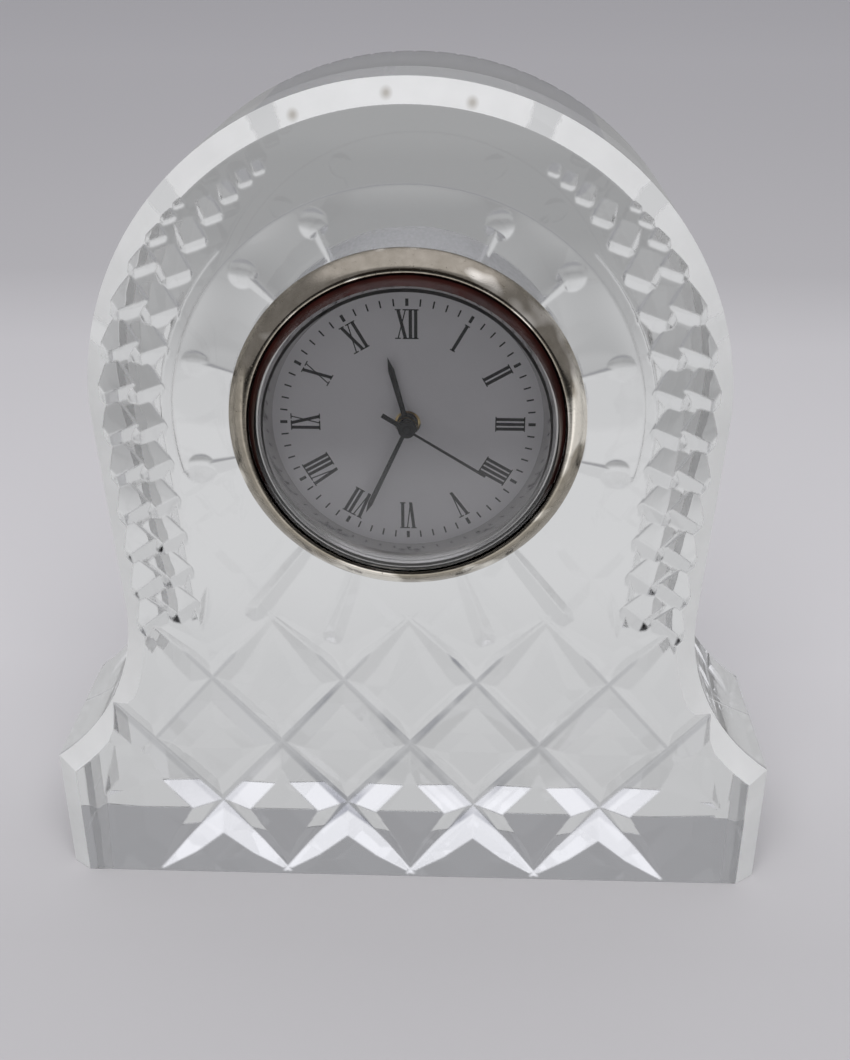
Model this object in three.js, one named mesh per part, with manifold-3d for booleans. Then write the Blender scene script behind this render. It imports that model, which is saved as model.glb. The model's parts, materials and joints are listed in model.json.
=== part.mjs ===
// Miniature crystal clock: a cut crystal arch with a small quartz clock pushed into its bore.
// Millimetres. +Z is up, +Y points away from the viewer, and the origin is the centre of the foot.
import * as THREE from 'three';
import { ConvexGeometry } from 'three/addons/geometries/ConvexGeometry.js';
import { mergeVertices } from 'three/addons/utils/BufferGeometryUtils.js';
import Module from 'manifold-3d';

const wasm = await Module();
wasm.setup();

// Crystal block: outline seen from the front
const blockHeight = 70;
const blockDepth = 17;
const footWidth = 63;
const footHeight = 12;
const waistWidth = 47.6;
const waistHeight = 27;
const archRadius = 24.8;
const frontBevelWidth = 1.7;
const frontBevelDepth = 1.2;
const backBevelWidth = 0.8;
const dialHeight = 44.8;
const boreRadius = 12.5;

// Cuts in the front face
const lineOvershoot = 0.3;
const cutOvershoot = 2;
const grooveHalfWidth = 1.95;
const grooveDepth = 1.12;
const grooveLines = { first: -3, last: 2 };
const diamondPitch = 11.34;
const diamondRise = 6.67;
const diamondCrossHeight = 15.2;
const diamondTop = 26.4;
const grooveFade = 1.8;
const grooveEndHalfWidth = 0.3;
const fluteStartRadius = 13;
const fluteStartHalfWidth = 0.3;
const fluteStartDepth = 0.2;
const fluteEndHalfWidth = 0.9;
const fluteEndDepth = 0.6;
const fluteEndSlope = 0.7;
const fluteTipShare = 0.6;
const upperFluteRadius = 18.1;
const upperFluteAngles = [23.5, 46, 74, 103.5];
const upperFluteHalfWidth = 0.55;
const upperFluteDepth = 0.42;
const thumb = { halfLength: 1.25, halfWidth: 1.05, depth: 0.5 };
const thumbFacets = { around: 8, along: 7 };
const lowerFlutes = [
  { angle: 143, radius: 21.9 },
  { angle: 161.5, radius: 20.8 },
];
const olivePlace = { x: 16.9, z: 28.1 };
const oliveLength = 4.6;
const oliveHalfWidth = 0.5;
const oliveDepth = 0.35;
const oliveTilt = 10;

// Ropes of leaves that run down both shoulders, two columns to each
const leafDepth = 0.85;
const leafRise = 2.65;
const leafDrop = 0.8;
const leafTilt = { foot: 38, crown: 20, settle: 2.2 };
const leafSections = [[-1.1, 0.35], [-0.8, 1], [0.8, 1], [1.1, 0.35]];
const leafSmallest = 0.25;
const ropeFoot = 28.2;
const ropeColumns = [
  { radius: 20.05, footX: 18.6, foot: 27.9, pitch: 3.2, halfLength: 1.35, start: 26, full: 62, swell: 1.6 },
  { radius: 22.35, footX: 21.5, foot: 26.6, pitch: 3.42, halfLength: 1.55, start: 44, full: 68, swell: 0.8 },
];
const ropeEdge = { radius: 18.85, start: 46, end: 98, fade: 22, foot: { x: 17.5, z: 27.1 } };
const ropeEdgeSection = { depth: 0.5, wall: 0.15, slope: 0.8 };
const ropeEdgeSteps = 6;
const ropeEdgeLap = 0.4;
const nickPitch = 1.7;
const nickHalfWidth = 0.5;
const nickDepth = 0.4;
const nickSpan = 32;

// Clock insert: depths are counted from the crystal's front face, backwards
const bezelRadius = 13.7;
const bezelCrestRadius = 12.75;
const bezelCrestRise = 1.3;
const bezelLip = 0.25;
const bezelInnerRadius = 11.8;
const bezelSkirtDepth = 2;
const boreClearance = 0.2;
const fitGap = 0.15;
const seatGap = 0.05;
const seatOverlap = 0.1;
const lensRadius = 12.45;
const lensFaceRadius = 11.45;
const lensRise = 2.35;
const lensSeat = 0.95;
const lensThickness = 1;
const lensBevel = 0.1;
const reflectorOpening = 10.4;
const reflectorMouth = 10.95;
const dialDepth = 0.6;
const dialThickness = 0.4;
const caseWall = 0.5;
const caseDepth = 8.2;
const coverThickness = 0.8;
const coverLip = { depth: 0.5, width: 0.6 };
const gripFront = 2.3;
const gripBack = 6.5;
const gripRibs = 3;
const gripRibHeight = 0.35;

// Hands: the time shown is 34 minutes past eleven
const hourHand = { length: 5.3, width: 0.46, angle: -15, front: 0 };
const minuteHand = { length: 7.9, width: 0.38, angle: 204.5, front: -0.45 };
const secondHand = { length: 7.1, width: 0.2, angle: 124.5, front: -0.9 };
const handThickness = 0.15;
const handTipShare = 1.3;
const handRootShare = 0.8;
const handSeat = 0.1;
const secondTail = 2.5;
const secondTailWidth = 0.32;
const handBossRadius = 0.78;
const hourBossRadius = 0.95;

// Going train and motion work: every gear pair has the same centre distance
const arborSpacing = 3.6;
const toothAddendum = 0.8;
const toothDedendum = 1.15;
const toothTip = 0.1;
const toothRoot = 0.27;
const toothVeeDepth = 0.45;
const pinionTeethMost = 12;
const wheelThickness = 0.4;
const pinionOverhang = 0.15;
const arborRadius = 0.22;
const arborInset = { front: 0.2, back: 0.1 };
const hubInset = 0.2;
const pivotGap = 0.1;
const secondArborRadius = 0.15;
const hubRadius = { intermediate: 0.5, second: 0.45, third: 0.35 };
const centreTube = { inner: 0.24, outer: 0.34 };
const cannonTube = { inner: 0.42, outer: 0.53 };
const hourTube = { inner: 0.61, outer: 0.72 };
const handFit = 0.03;
const teeth = {
  rotorPinion: 6, intermediateWheel: 36, intermediatePinion: 6, secondWheel: 30,
  secondPinion: 6, thirdWheel: 48, thirdPinion: 6, centreWheel: 45,
  cannonPinion: 10, motionWheel: 30, motionPinion: 8, hourWheel: 32, setPinion: 10,
};
const thirdAngle = 180;
const intermediateAngle = 23;
const rotorAngle = 97;
const motionAngle = -60;
const setAngle = -90;
const hourLayer = 1.25;
const motionLayer = 1.9;
const centreLayer = 3.65;
const thirdLayer = 4.5;
const secondLayer = 5.2;
const intermediateLayer = 6;
const rotorMagnet = { radius: 1.2, front: 4.35, back: 5.65 };

// Plates, electrics, battery and setting knob
const plateRadius = 11;
const plateFront = 2.6;
const plateBack = 3.4;
const bridgeFront = 6.9;
const bridgeBack = 7.6;
const bridgeEyeRadius = 1.35;
const screwPlaces = [[-7.2, 3], [7.4, -1.6], [6.9, 6.2]];
const pillarRadius = 1.1;
const screwHeadRadius = 0.85;
const screwShankRadius = 0.42;
const screwShankLength = 2;
const screwHeadHeight = 0.4;
const screwSlot = { halfWidth: 0.12, depth: 0.2, overrun: 0.17 };
const screwHoleGap = 0.1;
const screwHoleSpare = 0.5;
const boardThickness = 0.6;
const boardInnerRadius = 4.3;
const boardRadius = 10.7;
const boardAngles = [-162, -22];
const batteryRadius = 3.4;
const batteryThickness = 2.6;
const batteryPlace = [-6, -4.4];
const batteryCap = { inset: 0.7, rise: 0.2, shoulder: 0.4, edge: 0.15 };
const batteryGap = 0.1;
const hatchPlugRadius = 3.55;
const hatchFlangeRadius = 4.15;
const hatchFlangeThickness = 0.4;
const hatchSlot = { halfLength: 2.4, halfWidth: 0.35, cutInto: 0.3 };
const coilPlace = { left: -4.4, right: 1.2, height: 7.9, radius: 1.35, flange: 0.3, step: 0.25 };
const coreOverhang = { left: 1.3, right: 1.2 };
const coreGap = 0.08;
const quartzCan = { radius: 0.75, length: 5.1, place: [6.4, -5.2], turn: 51 };
const chip = { radius: 1.2, rise: 0.75, place: [3.6, -8.5], dome: [[0.92, 0.5], [0.6, 0.88]] };
const statorFront = 4.75;
const statorThickness = 0.5;
const statorEyeRadius = 2.1;
const statorFoot = 0.8;
const statorWindow = { edge: 1, foot: 0.6, rotorSide: 0.9 };
const rotorClearance = 0.3;
const knobRadius = 2.6;
const knobLength = 2;
const knobGap = 0.3;
const knobSocketDepth = 0.7;
const knobFlutes = 16;
const knobFluteDepth = 0.25;
const setArborRadius = 0.45;
const springThickness = 0.15;
const springWidth = 1.6;
const negativeSpring = { foot: -2.6, bend: -1.2, rise: 0.6, end: 1.8, turn: 20 };
const positiveSpring = { base: 1.5, turn: 25, below: 1 };

const groundSpare = frontBevelWidth + backBevelWidth;
const frontFace = -blockDepth / 2;
const dialBack = dialDepth + dialThickness;
const caseRadius = bezelInnerRadius - fitGap;
const coverBack = caseDepth + coverThickness;
const lensUnderside = -(lensRise - lensThickness);
const batteryBack = caseDepth - batteryGap;
const batteryFront = batteryBack - batteryThickness;
const boardBack = plateBack + boardThickness;
const arborSpan = [plateFront + arborInset.front, bridgeBack - arborInset.back];

const finishes = {
  crystal: { color: 0xeef0f0, roughness: 0.03, transparent: true, opacity: 0.35 },
  lens: { color: 0xe8ecec, roughness: 0.02, transparent: true, opacity: 0.3 },
  goldPlate: { color: 0xcfbf9a, roughness: 0.2, metalness: 1 },
  steel: { color: 0xb9bbbd, roughness: 0.35, metalness: 1 },
  brass: { color: 0xc9a24f, roughness: 0.35, metalness: 1 },
  copper: { color: 0xa8552e, roughness: 0.45, metalness: 0.6 },
  dial: { color: 0xd9d7da, roughness: 0.6 },
  black: { color: 0x101012, roughness: 0.4 },
  rubber: { color: 0x2a2a2b, roughness: 0.85 },
  plastic: { color: 0xd8d8d2, roughness: 0.55 },
  board: { color: 0x1f5a3a, roughness: 0.5 },
};

// Facets of a full circle: large rings, plates and small pins
const ringFacets = 40;
const plateFacets = 32;
const wellFacets = 20;
const pinFacets = 8;

// Turning closed geometries into solids that can be joined and cut
function windOutwards(geometry) {
  const place = geometry.attributes.position;
  const index = geometry.index.array;
  const [a, b, c] = [new THREE.Vector3(), new THREE.Vector3(), new THREE.Vector3()];
  let volume = 0;
  for (let i = 0; i < index.length; i += 3) {
    a.fromBufferAttribute(place, index[i]);
    b.fromBufferAttribute(place, index[i + 1]);
    c.fromBufferAttribute(place, index[i + 2]);
    volume += a.dot(b.cross(c));
  }
  if (volume < 0) {
    for (let i = 0; i < index.length; i += 3) {
      [index[i], index[i + 1]] = [index[i + 1], index[i]];
    }
  }
  return geometry;
}

function solidOf(geometry) {
  const bare = geometry.clone();
  bare.deleteAttribute('normal');
  bare.deleteAttribute('uv');
  const merged = mergeVertices(bare, 1e-4);
  const corners = [];
  for (let i = 0; i < merged.index.count; i += 3) {
    const [a, b, c] = [merged.index.getX(i), merged.index.getX(i + 1), merged.index.getX(i + 2)];
    if (a !== b && b !== c && c !== a) {
      corners.push(a, b, c);
    }
  }
  merged.setIndex(corners);
  windOutwards(merged);
  return new wasm.Manifold(new wasm.Mesh({
    numProp: 3,
    vertProperties: new Float32Array(merged.attributes.position.array),
    triVerts: new Uint32Array(merged.index.array),
  }));
}

function geometryOf(solid) {
  const mesh = solid.getMesh();
  const geometry = new THREE.BufferGeometry();
  geometry.setAttribute('position', new THREE.BufferAttribute(new Float32Array(mesh.vertProperties), 3));
  geometry.setIndex(new THREE.BufferAttribute(new Uint32Array(mesh.triVerts), 1));
  return geometry;
}

function joined(first, ...others) {
  return others.reduce((sum, other) => sum.add(other), first);
}

function cutBy(base, ...tools) {
  return tools.reduce((rest, tool) => rest.subtract(tool), base);
}

const degrees = (angle) => angle * Math.PI / 180;
const polarFrom = ([x, z], turn, radius) => [x + radius * Math.cos(turn), z + radius * Math.sin(turn)];
const polar = (angle, radius) => polarFrom([0, 0], degrees(angle), radius);

// Basic forms: revolved about the clock's axis, or drawn from the front and given a depth
function revolve(profile, segments = ringFacets) {
  const points = profile.map(([radius, depth]) => new THREE.Vector2(radius, depth));
  const [first, last] = [profile[0], profile[profile.length - 1]];
  if (first[0] > 0 || last[0] > 0) {
    points.push(points[0].clone());
  }
  return solidOf(new THREE.LatheGeometry(points, segments));
}

function prism(shape, front, back, curveSegments = 12) {
  const depth = back - front;
  const geometry = new THREE.ExtrudeGeometry(shape, { depth, bevelEnabled: false, curveSegments });
  geometry.rotateX(Math.PI / 2);
  geometry.translate(0, back, 0);
  return solidOf(geometry);
}

function disc([x, z], radius, front, back, segments = pinFacets) {
  const geometry = new THREE.CylinderGeometry(radius, radius, back - front, segments);
  geometry.translate(x, (front + back) / 2, z);
  return solidOf(geometry);
}

// A round hole from the front of the insert to its back
function bored(place, radius, segments = pinFacets) {
  return disc(place, radius, -lensRise - cutOvershoot, coverBack + cutOvershoot, segments);
}

function polygon(points) {
  return new THREE.Shape(points.map(([x, z]) => new THREE.Vector2(x, z)));
}

function rectangle(left, bottom, right, top) {
  return polygon([[left, bottom], [right, bottom], [right, top], [left, top]]);
}

// A strip with round ends between two places, as bridges and levers are cut
function capsule([x0, z0], [x1, z1], radius) {
  const heading = Math.atan2(z1 - z0, x1 - x0);
  const shape = new THREE.Shape();
  shape.absarc(x1, z1, radius, heading - Math.PI / 2, heading + Math.PI / 2, false);
  shape.absarc(x0, z0, radius, heading + Math.PI / 2, heading + 1.5 * Math.PI, false);
  shape.closePath();
  return shape;
}

// Crystal block
function blockOutline() {
  const [halfFoot, halfWaist] = [footWidth / 2, waistWidth / 2];
  const archCentre = blockHeight - archRadius;
  const below = -groundSpare;
  const flareRise = waistHeight - footHeight;
  const flareRun = halfFoot - halfWaist;
  const flareRadius = (flareRun ** 2 + flareRise ** 2) / (2 * flareRun);
  const flareAngle = Math.asin(flareRise / flareRadius);
  const shape = new THREE.Shape();
  shape.moveTo(-halfFoot, below);
  shape.lineTo(halfFoot, below);
  shape.lineTo(halfFoot, footHeight);
  shape.absarc(halfWaist + flareRadius, waistHeight, flareRadius, Math.PI + flareAngle, Math.PI, true);
  shape.absarc(0, archCentre, archRadius, 0, Math.PI / 2, false);
  shape.absarc(0, archCentre, archRadius, Math.PI / 2, Math.PI, false);
  shape.absarc(-halfWaist - flareRadius, waistHeight, flareRadius, 0, -flareAngle, true);
  shape.lineTo(-halfFoot, footHeight);
  shape.closePath();
  return shape;
}

function bevelledBlock(bevelWidth, bevelDepth, front, back) {
  const geometry = new THREE.ExtrudeGeometry(blockOutline(), {
    depth: back - front - 2 * bevelDepth, curveSegments: 12, bevelEnabled: true, bevelSegments: 1,
    bevelSize: bevelWidth, bevelThickness: bevelDepth, bevelOffset: -bevelWidth,
  });
  geometry.rotateX(Math.PI / 2);
  geometry.translate(0, back - bevelDepth, 0);
  return solidOf(geometry);
}

// A wheel cut in the front face: sections along the cut, each a V of its own width and depth
function wheelCut(sections) {
  const [first, last] = [sections[0], sections[sections.length - 1]];
  const heading = Math.atan2(last.z - first.z, last.x - first.x);
  const across = [-Math.sin(heading), Math.cos(heading)];
  const points = [];
  for (const { x, z, halfWidth, depth } of sections) {
    const flank = depth > 0 ? halfWidth / depth : 1;
    const reach = halfWidth + flank * lineOvershoot;
    const offLine = (offset, y) => new THREE.Vector3(x + offset * across[0], y, z + offset * across[1]);
    if (depth > 0) {
      points.push(offLine(0, frontFace + depth));
    }
    for (const side of [-1, 1]) {
      points.push(offLine(side * reach, frontFace - lineOvershoot));
      if (depth === 0 && halfWidth > 0) {
        points.push(offLine(side * halfWidth, frontFace));
      }
    }
  }
  return solidOf(new ConvexGeometry(points));
}

function latticeCuts() {
  const cuts = [];
  const slope = diamondRise / (diamondPitch / 2);
  const lean = Math.hypot(1, slope);
  const full = { halfWidth: grooveHalfWidth, depth: grooveDepth };
  for (const side of [-1, 1]) {
    for (let line = grooveLines.first; line <= grooveLines.last; line++) {
      const cross = line * diamondPitch;
      const at = (height) => side * (cross + (height - diamondCrossHeight) / slope);
      const top = diamondTop + grooveFade * slope / lean;
      cuts.push(wheelCut([
        { x: at(-cutOvershoot), z: -cutOvershoot, ...full },
        { x: at(diamondTop), z: diamondTop, ...full },
        { x: at(top), z: top, halfWidth: grooveEndHalfWidth, depth: 0 },
      ]));
    }
  }
  return cuts;
}

// A hollow that a round wheel bites: longer along its cut than across it
function biteCut(x, z, turn, { halfLength, halfWidth, depth }) {
  const capShare = Math.sqrt(3) / 2;
  const geometry = new THREE.SphereGeometry(1, thumbFacets.around, thumbFacets.along);
  geometry.scale(halfWidth / capShare, 2 * depth, halfLength / capShare);
  geometry.rotateY(turn);
  geometry.translate(x, frontFace - depth, z);
  return solidOf(geometry);
}

// The upper flutes end in a round thumb, and the lower ones widen to a blunt end
function fluteCuts(angle, radius, withThumb) {
  const turn = degrees(angle);
  const along = (distance) => ({ x: distance * Math.sin(turn), z: dialHeight + distance * Math.cos(turn) });
  const start = { ...along(fluteStartRadius), halfWidth: fluteStartHalfWidth, depth: fluteStartDepth };
  if (withThumb) {
    const centre = along(radius - thumb.halfLength);
    const stem = wheelCut([start, { ...centre, halfWidth: upperFluteHalfWidth, depth: upperFluteDepth }]);
    return [stem, biteCut(centre.x, centre.z, turn, thumb)];
  }
  return [wheelCut([
    start,
    { ...along(radius - fluteEndSlope), halfWidth: fluteEndHalfWidth, depth: fluteEndDepth },
    { ...along(radius), halfWidth: fluteEndHalfWidth * fluteTipShare, depth: 0 },
  ])];
}

function allFluteCuts() {
  return [-1, 1].flatMap((side) => [
    ...upperFluteAngles.flatMap((angle) => fluteCuts(side * angle, upperFluteRadius, true)),
    ...lowerFlutes.flatMap(({ angle, radius }) => fluteCuts(side * angle, radius, false)),
  ]);
}

function oliveCuts() {
  const half = oliveLength / 2;
  return [-1, 1].map((side) => wheelCut([-1, -0.55, 0, 0.55, 1].map((t) => ({
    x: side * (olivePlace.x - t * half * Math.sin(degrees(oliveTilt))),
    z: olivePlace.z + t * half * Math.cos(degrees(oliveTilt)),
    halfWidth: oliveHalfWidth * (1 - t * t),
    depth: oliveDepth * (1 - t * t),
  }))));
}

// One leaf of a rope: a short steep flank below its root and a long one above, both rising to the centre
function leafCut(side, x, z, size, halfLength) {
  const share = (z - ropeFoot) / (blockHeight - ropeFoot);
  const settled = THREE.MathUtils.clamp(leafTilt.settle * share, 0, 1);
  const tilt = degrees(THREE.MathUtils.lerp(leafTilt.foot, leafTilt.crown, settled));
  const points = [];
  for (const [run, depthShare] of leafSections) {
    const depth = depthShare * size * leafDepth;
    const along = run * size * halfLength;
    const place = (up, y) => points.push(new THREE.Vector3(
      side * (x - along * Math.cos(tilt) + up * Math.sin(tilt)),
      frontFace + y,
      z + along * Math.sin(tilt) + up * Math.cos(tilt),
    ));
    place(0, depth);
    for (const reach of [leafRise, -leafDrop]) {
      place(reach * (depth + lineOvershoot) / leafDepth, -lineOvershoot);
    }
  }
  return solidOf(new ConvexGeometry(points));
}

// A column runs straight up its shoulder and then round the dial, where its leaves shrink to nothing
function ropePlaces({ radius, footX, foot, pitch, start, full, swell }) {
  const lean = (radius - footX) / (dialHeight - ropeFoot);
  const places = [];
  let z = foot;
  for (; z < dialHeight; z += pitch) {
    places.push({ x: radius - lean * (dialHeight - z), z, size: 1 });
  }
  let angle = 90 - (z - dialHeight) / radius / degrees(1);
  while (angle > start) {
    const share = Math.min(1, (angle - start) / (full - start));
    const size = THREE.MathUtils.lerp(leafSmallest, 1, share);
    const out = radius + swell * (1 - share);
    places.push({ x: out * Math.sin(degrees(angle)), z: dialHeight + out * Math.cos(degrees(angle)), size });
    angle -= size * pitch / radius / degrees(1);
  }
  return places;
}

function ropeCuts() {
  return ropeColumns.flatMap((column) => ropePlaces(column).flatMap(({ x, z, size }) =>
    [-1, 1].map((side) => leafCut(side, x, z, size, column.halfLength))));
}

// A fine groove down the rope's inner side: a steep wall towards the dial and a slope towards the leaves
function ropeEdgeCuts() {
  const { radius, start, end, fade, foot } = ropeEdge;
  const { depth, wall, slope } = ropeEdgeSection;
  const at = (angle) => {
    const [outX, outZ] = [Math.sin(degrees(angle)), Math.cos(degrees(angle))];
    const size = THREE.MathUtils.clamp((angle - start) / fade, leafSmallest, 1);
    return { x: radius * outX, z: dialHeight + radius * outZ, outX, outZ, size };
  };
  const step = (end - start) / ropeEdgeSteps;
  const spans = [[at(end), { ...at(end), ...foot }]];
  for (let i = 0; i < ropeEdgeSteps; i++) {
    const angle = start + i * step;
    spans.push([at(angle - ropeEdgeLap), at(angle + step + ropeEdgeLap)]);
  }
  const section = (side) => ({ x, z, outX, outZ, size }) =>
    [[wall, size * depth], [0, -lineOvershoot], [wall + slope, -lineOvershoot]].map(([reach, y]) =>
      new THREE.Vector3(side * (x + reach * outX), frontFace + y, z + reach * outZ));
  const groove = (span, side) => solidOf(new ConvexGeometry(span.flatMap(section(side))));
  return spans.flatMap((span) => [groove(span, -1), groove(span, 1)]);
}

// Small notches across the arch's back edge
function nickCuts() {
  const archCentre = blockHeight - archRadius;
  const step = nickPitch / archRadius;
  const count = Math.floor(degrees(nickSpan) / step);
  const reach = nickDepth + backBevelWidth / Math.SQRT2;
  const cuts = [];
  for (let i = -count; i <= count; i++) {
    const points = [];
    const place = (x, y, z) => points.push(new THREE.Vector3(x, y, z).applyAxisAngle(
      new THREE.Vector3(0, 1, 0), i * step,
    ).add(new THREE.Vector3(0, 0, archCentre)));
    for (const end of [-2, 2]) {
      const [y, z] = [-frontFace - end * reach / Math.SQRT2, archRadius + end * reach / Math.SQRT2];
      place(0, y - reach / Math.SQRT2, z - reach / Math.SQRT2);
      for (const flank of [-2, 2]) {
        place(flank * nickHalfWidth, y + reach / Math.SQRT2, z + reach / Math.SQRT2);
      }
    }
    cuts.push(solidOf(new ConvexGeometry(points)));
  }
  return cuts;
}

function crystalSolid() {
  const spare = 2 * frontBevelDepth + cutOvershoot;
  const front = bevelledBlock(frontBevelWidth, frontBevelDepth, frontFace, -frontFace + spare);
  const back = bevelledBlock(backBevelWidth, backBevelWidth, frontFace - spare, -frontFace);
  const ground = new THREE.BoxGeometry(2 * footWidth, 2 * blockDepth, blockDepth);
  ground.translate(0, 0, -blockDepth / 2);
  const bore = disc(
    [0, dialHeight], boreRadius, frontFace - cutOvershoot, -frontFace + cutOvershoot, ringFacets,
  );
  return cutBy(
    front.intersect(back), solidOf(ground), bore,
    ...latticeCuts(), ...allFluteCuts(), ...oliveCuts(), ...ropeCuts(), ...ropeEdgeCuts(), ...nickCuts(),
  );
}

// Bezel, lens, reflector ring and dial
function bezelSolid() {
  const crest = -bezelCrestRise;
  return revolve([
    [bezelRadius, 0], [bezelRadius, -bezelLip], [bezelCrestRadius, crest], [lensRadius + fitGap, crest],
    [lensRadius + fitGap, -lensSeat], [bezelInnerRadius, -lensSeat], [bezelInnerRadius, bezelSkirtDepth],
    [boreRadius - boreClearance, bezelSkirtDepth], [boreRadius - boreClearance, 0],
  ]);
}

function lensSolid() {
  const foot = -lensSeat;
  return revolve([
    [0, -lensRise], [lensFaceRadius, -lensRise], [lensRadius, -bezelCrestRise], [lensRadius, foot],
    [reflectorMouth + lensBevel, foot], [reflectorMouth - lensBevel, lensUnderside], [0, lensUnderside],
  ]);
}

function reflectorSolid() {
  const outer = bezelInnerRadius - fitGap;
  const front = -lensSeat + seatGap;
  return revolve([
    [reflectorMouth, front], [outer, front], [outer, dialDepth], [reflectorOpening, dialDepth],
  ]);
}

function dialSolid() {
  const blank = disc([0, 0], bezelInnerRadius - fitGap, dialDepth, dialBack, ringFacets);
  return cutBy(blank, bored([0, 0], hourTube.outer + 2 * fitGap));
}

// Case, rubber grip, back cover and battery hatch
function caseSolid() {
  const inner = caseRadius - caseWall;
  const profile = [[inner, dialBack], [caseRadius, dialBack], [caseRadius, caseDepth], [inner, caseDepth]];
  return revolve(profile, plateFacets);
}

function gripSolid() {
  const inner = caseRadius + fitGap;
  const outer = boreRadius - boreClearance;
  const root = outer - gripRibHeight;
  const pitch = (gripBack - gripFront) / gripRibs;
  const profile = [[inner, gripFront]];
  for (let rib = 0; rib < gripRibs; rib++) {
    const start = gripFront + rib * pitch;
    profile.push([root, start], [outer, start + 0.5 * pitch]);
  }
  profile.push([root, gripBack], [inner, gripBack]);
  return revolve(profile, plateFacets);
}

function coverSolid() {
  const inner = caseRadius - caseWall - fitGap;
  const [lipFront, lipBack] = [caseDepth - coverLip.depth, caseDepth + seatOverlap];
  const plate = disc([0, 0], caseRadius, caseDepth, coverBack, plateFacets);
  const lipInner = inner - coverLip.width;
  const lipProfile = [[lipInner, lipFront], [inner, lipFront], [inner, lipBack], [lipInner, lipBack]];
  const lip = revolve(lipProfile, plateFacets);
  const hatchHole = bored(batteryPlace, hatchPlugRadius + fitGap, wellFacets);
  return cutBy(joined(plate, lip), hatchHole, bored(setPlace, setArborRadius + pivotGap));
}

function hatchSolid() {
  const flangeBack = coverBack + hatchFlangeThickness;
  const plug = disc(batteryPlace, hatchPlugRadius, caseDepth + seatGap, coverBack + seatOverlap, wellFacets);
  const flange = disc(batteryPlace, hatchFlangeRadius, coverBack, flangeBack, wellFacets);
  const [x, z] = batteryPlace;
  const { halfLength, halfWidth, cutInto } = hatchSlot;
  const slot = rectangle(x - halfLength, z - halfWidth, x + halfLength, z + halfWidth);
  return cutBy(joined(plug, flange), prism(slot, flangeBack - cutInto, flangeBack + cutOvershoot));
}

function batterySolid() {
  const { inset, rise, shoulder, edge } = batteryCap;
  const capRadius = batteryRadius - inset;
  const geometry = new THREE.LatheGeometry([
    [0, batteryFront], [capRadius, batteryFront], [capRadius, batteryFront + rise],
    [batteryRadius - edge, batteryFront + rise], [batteryRadius, batteryFront + shoulder],
    [batteryRadius, batteryBack - edge], [batteryRadius - edge, batteryBack], [0, batteryBack],
  ].map(([radius, depth]) => new THREE.Vector2(radius, depth)), wellFacets);
  geometry.translate(batteryPlace[0], 0, batteryPlace[1]);
  return solidOf(geometry);
}

// Gears: a trapezoid tooth keeps real backlash at every turn
function gearShape(count, pairTeeth, phase, centre) {
  const size = 2 * arborSpacing / pairTeeth;
  const pitchRadius = size * count / 2;
  const tip = pitchRadius + toothAddendum * size;
  const root = pitchRadius - toothDedendum * size;
  const pitch = 2 * Math.PI / count;
  const isPinion = count <= pinionTeethMost;
  const flank = isPinion
    ? [[-toothRoot, root], [-toothTip, tip], [toothTip, tip], [toothRoot, root]]
    : [[-0.5, root - toothVeeDepth * size], [-toothTip, tip], [toothTip, tip]];
  const points = [];
  for (let tooth = 0; tooth < count; tooth++) {
    const middle = phase + tooth * pitch;
    for (const [share, radius] of flank) {
      points.push(polarFrom(centre, middle + share * pitch, radius));
    }
  }
  return polygon(points);
}

function wheel(count, pairTeeth, phase, centre, front) {
  return prism(gearShape(count, pairTeeth, phase, centre), front, front + wheelThickness);
}

function pinion(count, pairTeeth, phase, centre, front, back) {
  return prism(gearShape(count, pairTeeth, phase, centre), front, back);
}

// A pinion stands a little past the wheel that it turns with, on both sides
function pinionSpan(layer) {
  return [layer - pinionOverhang, layer + wheelThickness + pinionOverhang];
}

function hubSpan(pinionLayer, wheelLayer) {
  return [pinionLayer + wheelThickness + pivotGap, wheelLayer + hubInset];
}

// The turn that puts a gear's tooth space opposite its partner's tooth
function meshPhase(heading, partnerPhase, partnerTeeth, count) {
  return heading + Math.PI + (heading - partnerPhase) * partnerTeeth / count + Math.PI / count;
}

const sumPlaces = ([x0, z0], [x1, z1]) => [x0 + x1, z0 + z1];
const centrePlace = [0, 0];
const thirdPlace = polar(thirdAngle, arborSpacing);
const intermediatePlace = polar(intermediateAngle, arborSpacing);
const rotorPlace = sumPlaces(intermediatePlace, polar(rotorAngle, arborSpacing));
const motionPlace = polar(motionAngle, arborSpacing);
const setPlace = sumPlaces(motionPlace, polar(setAngle, arborSpacing));

const pairs = {
  rotor: teeth.rotorPinion + teeth.intermediateWheel,
  second: teeth.intermediatePinion + teeth.secondWheel,
  third: teeth.secondPinion + teeth.thirdWheel,
  centre: teeth.thirdPinion + teeth.centreWheel,
  motion: teeth.cannonPinion + teeth.motionWheel,
  hour: teeth.motionPinion + teeth.hourWheel,
};
const toThird = degrees(thirdAngle);
const toIntermediate = degrees(intermediateAngle);
const toRotor = degrees(rotorAngle);
const toMotion = degrees(motionAngle);
const toSet = degrees(setAngle);

function rotorPinionSolid() {
  const phase = meshPhase(toRotor, toRotor, teeth.intermediateWheel, teeth.rotorPinion);
  const leaves = pinion(teeth.rotorPinion, pairs.rotor, phase, rotorPlace, ...pinionSpan(intermediateLayer));
  return joined(leaves, disc(rotorPlace, arborRadius, ...arborSpan));
}

function rotorMagnetSolid() {
  const magnet = disc(rotorPlace, rotorMagnet.radius, rotorMagnet.front, rotorMagnet.back, wellFacets);
  return cutBy(magnet, bored(rotorPlace, arborRadius + seatGap));
}

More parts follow.
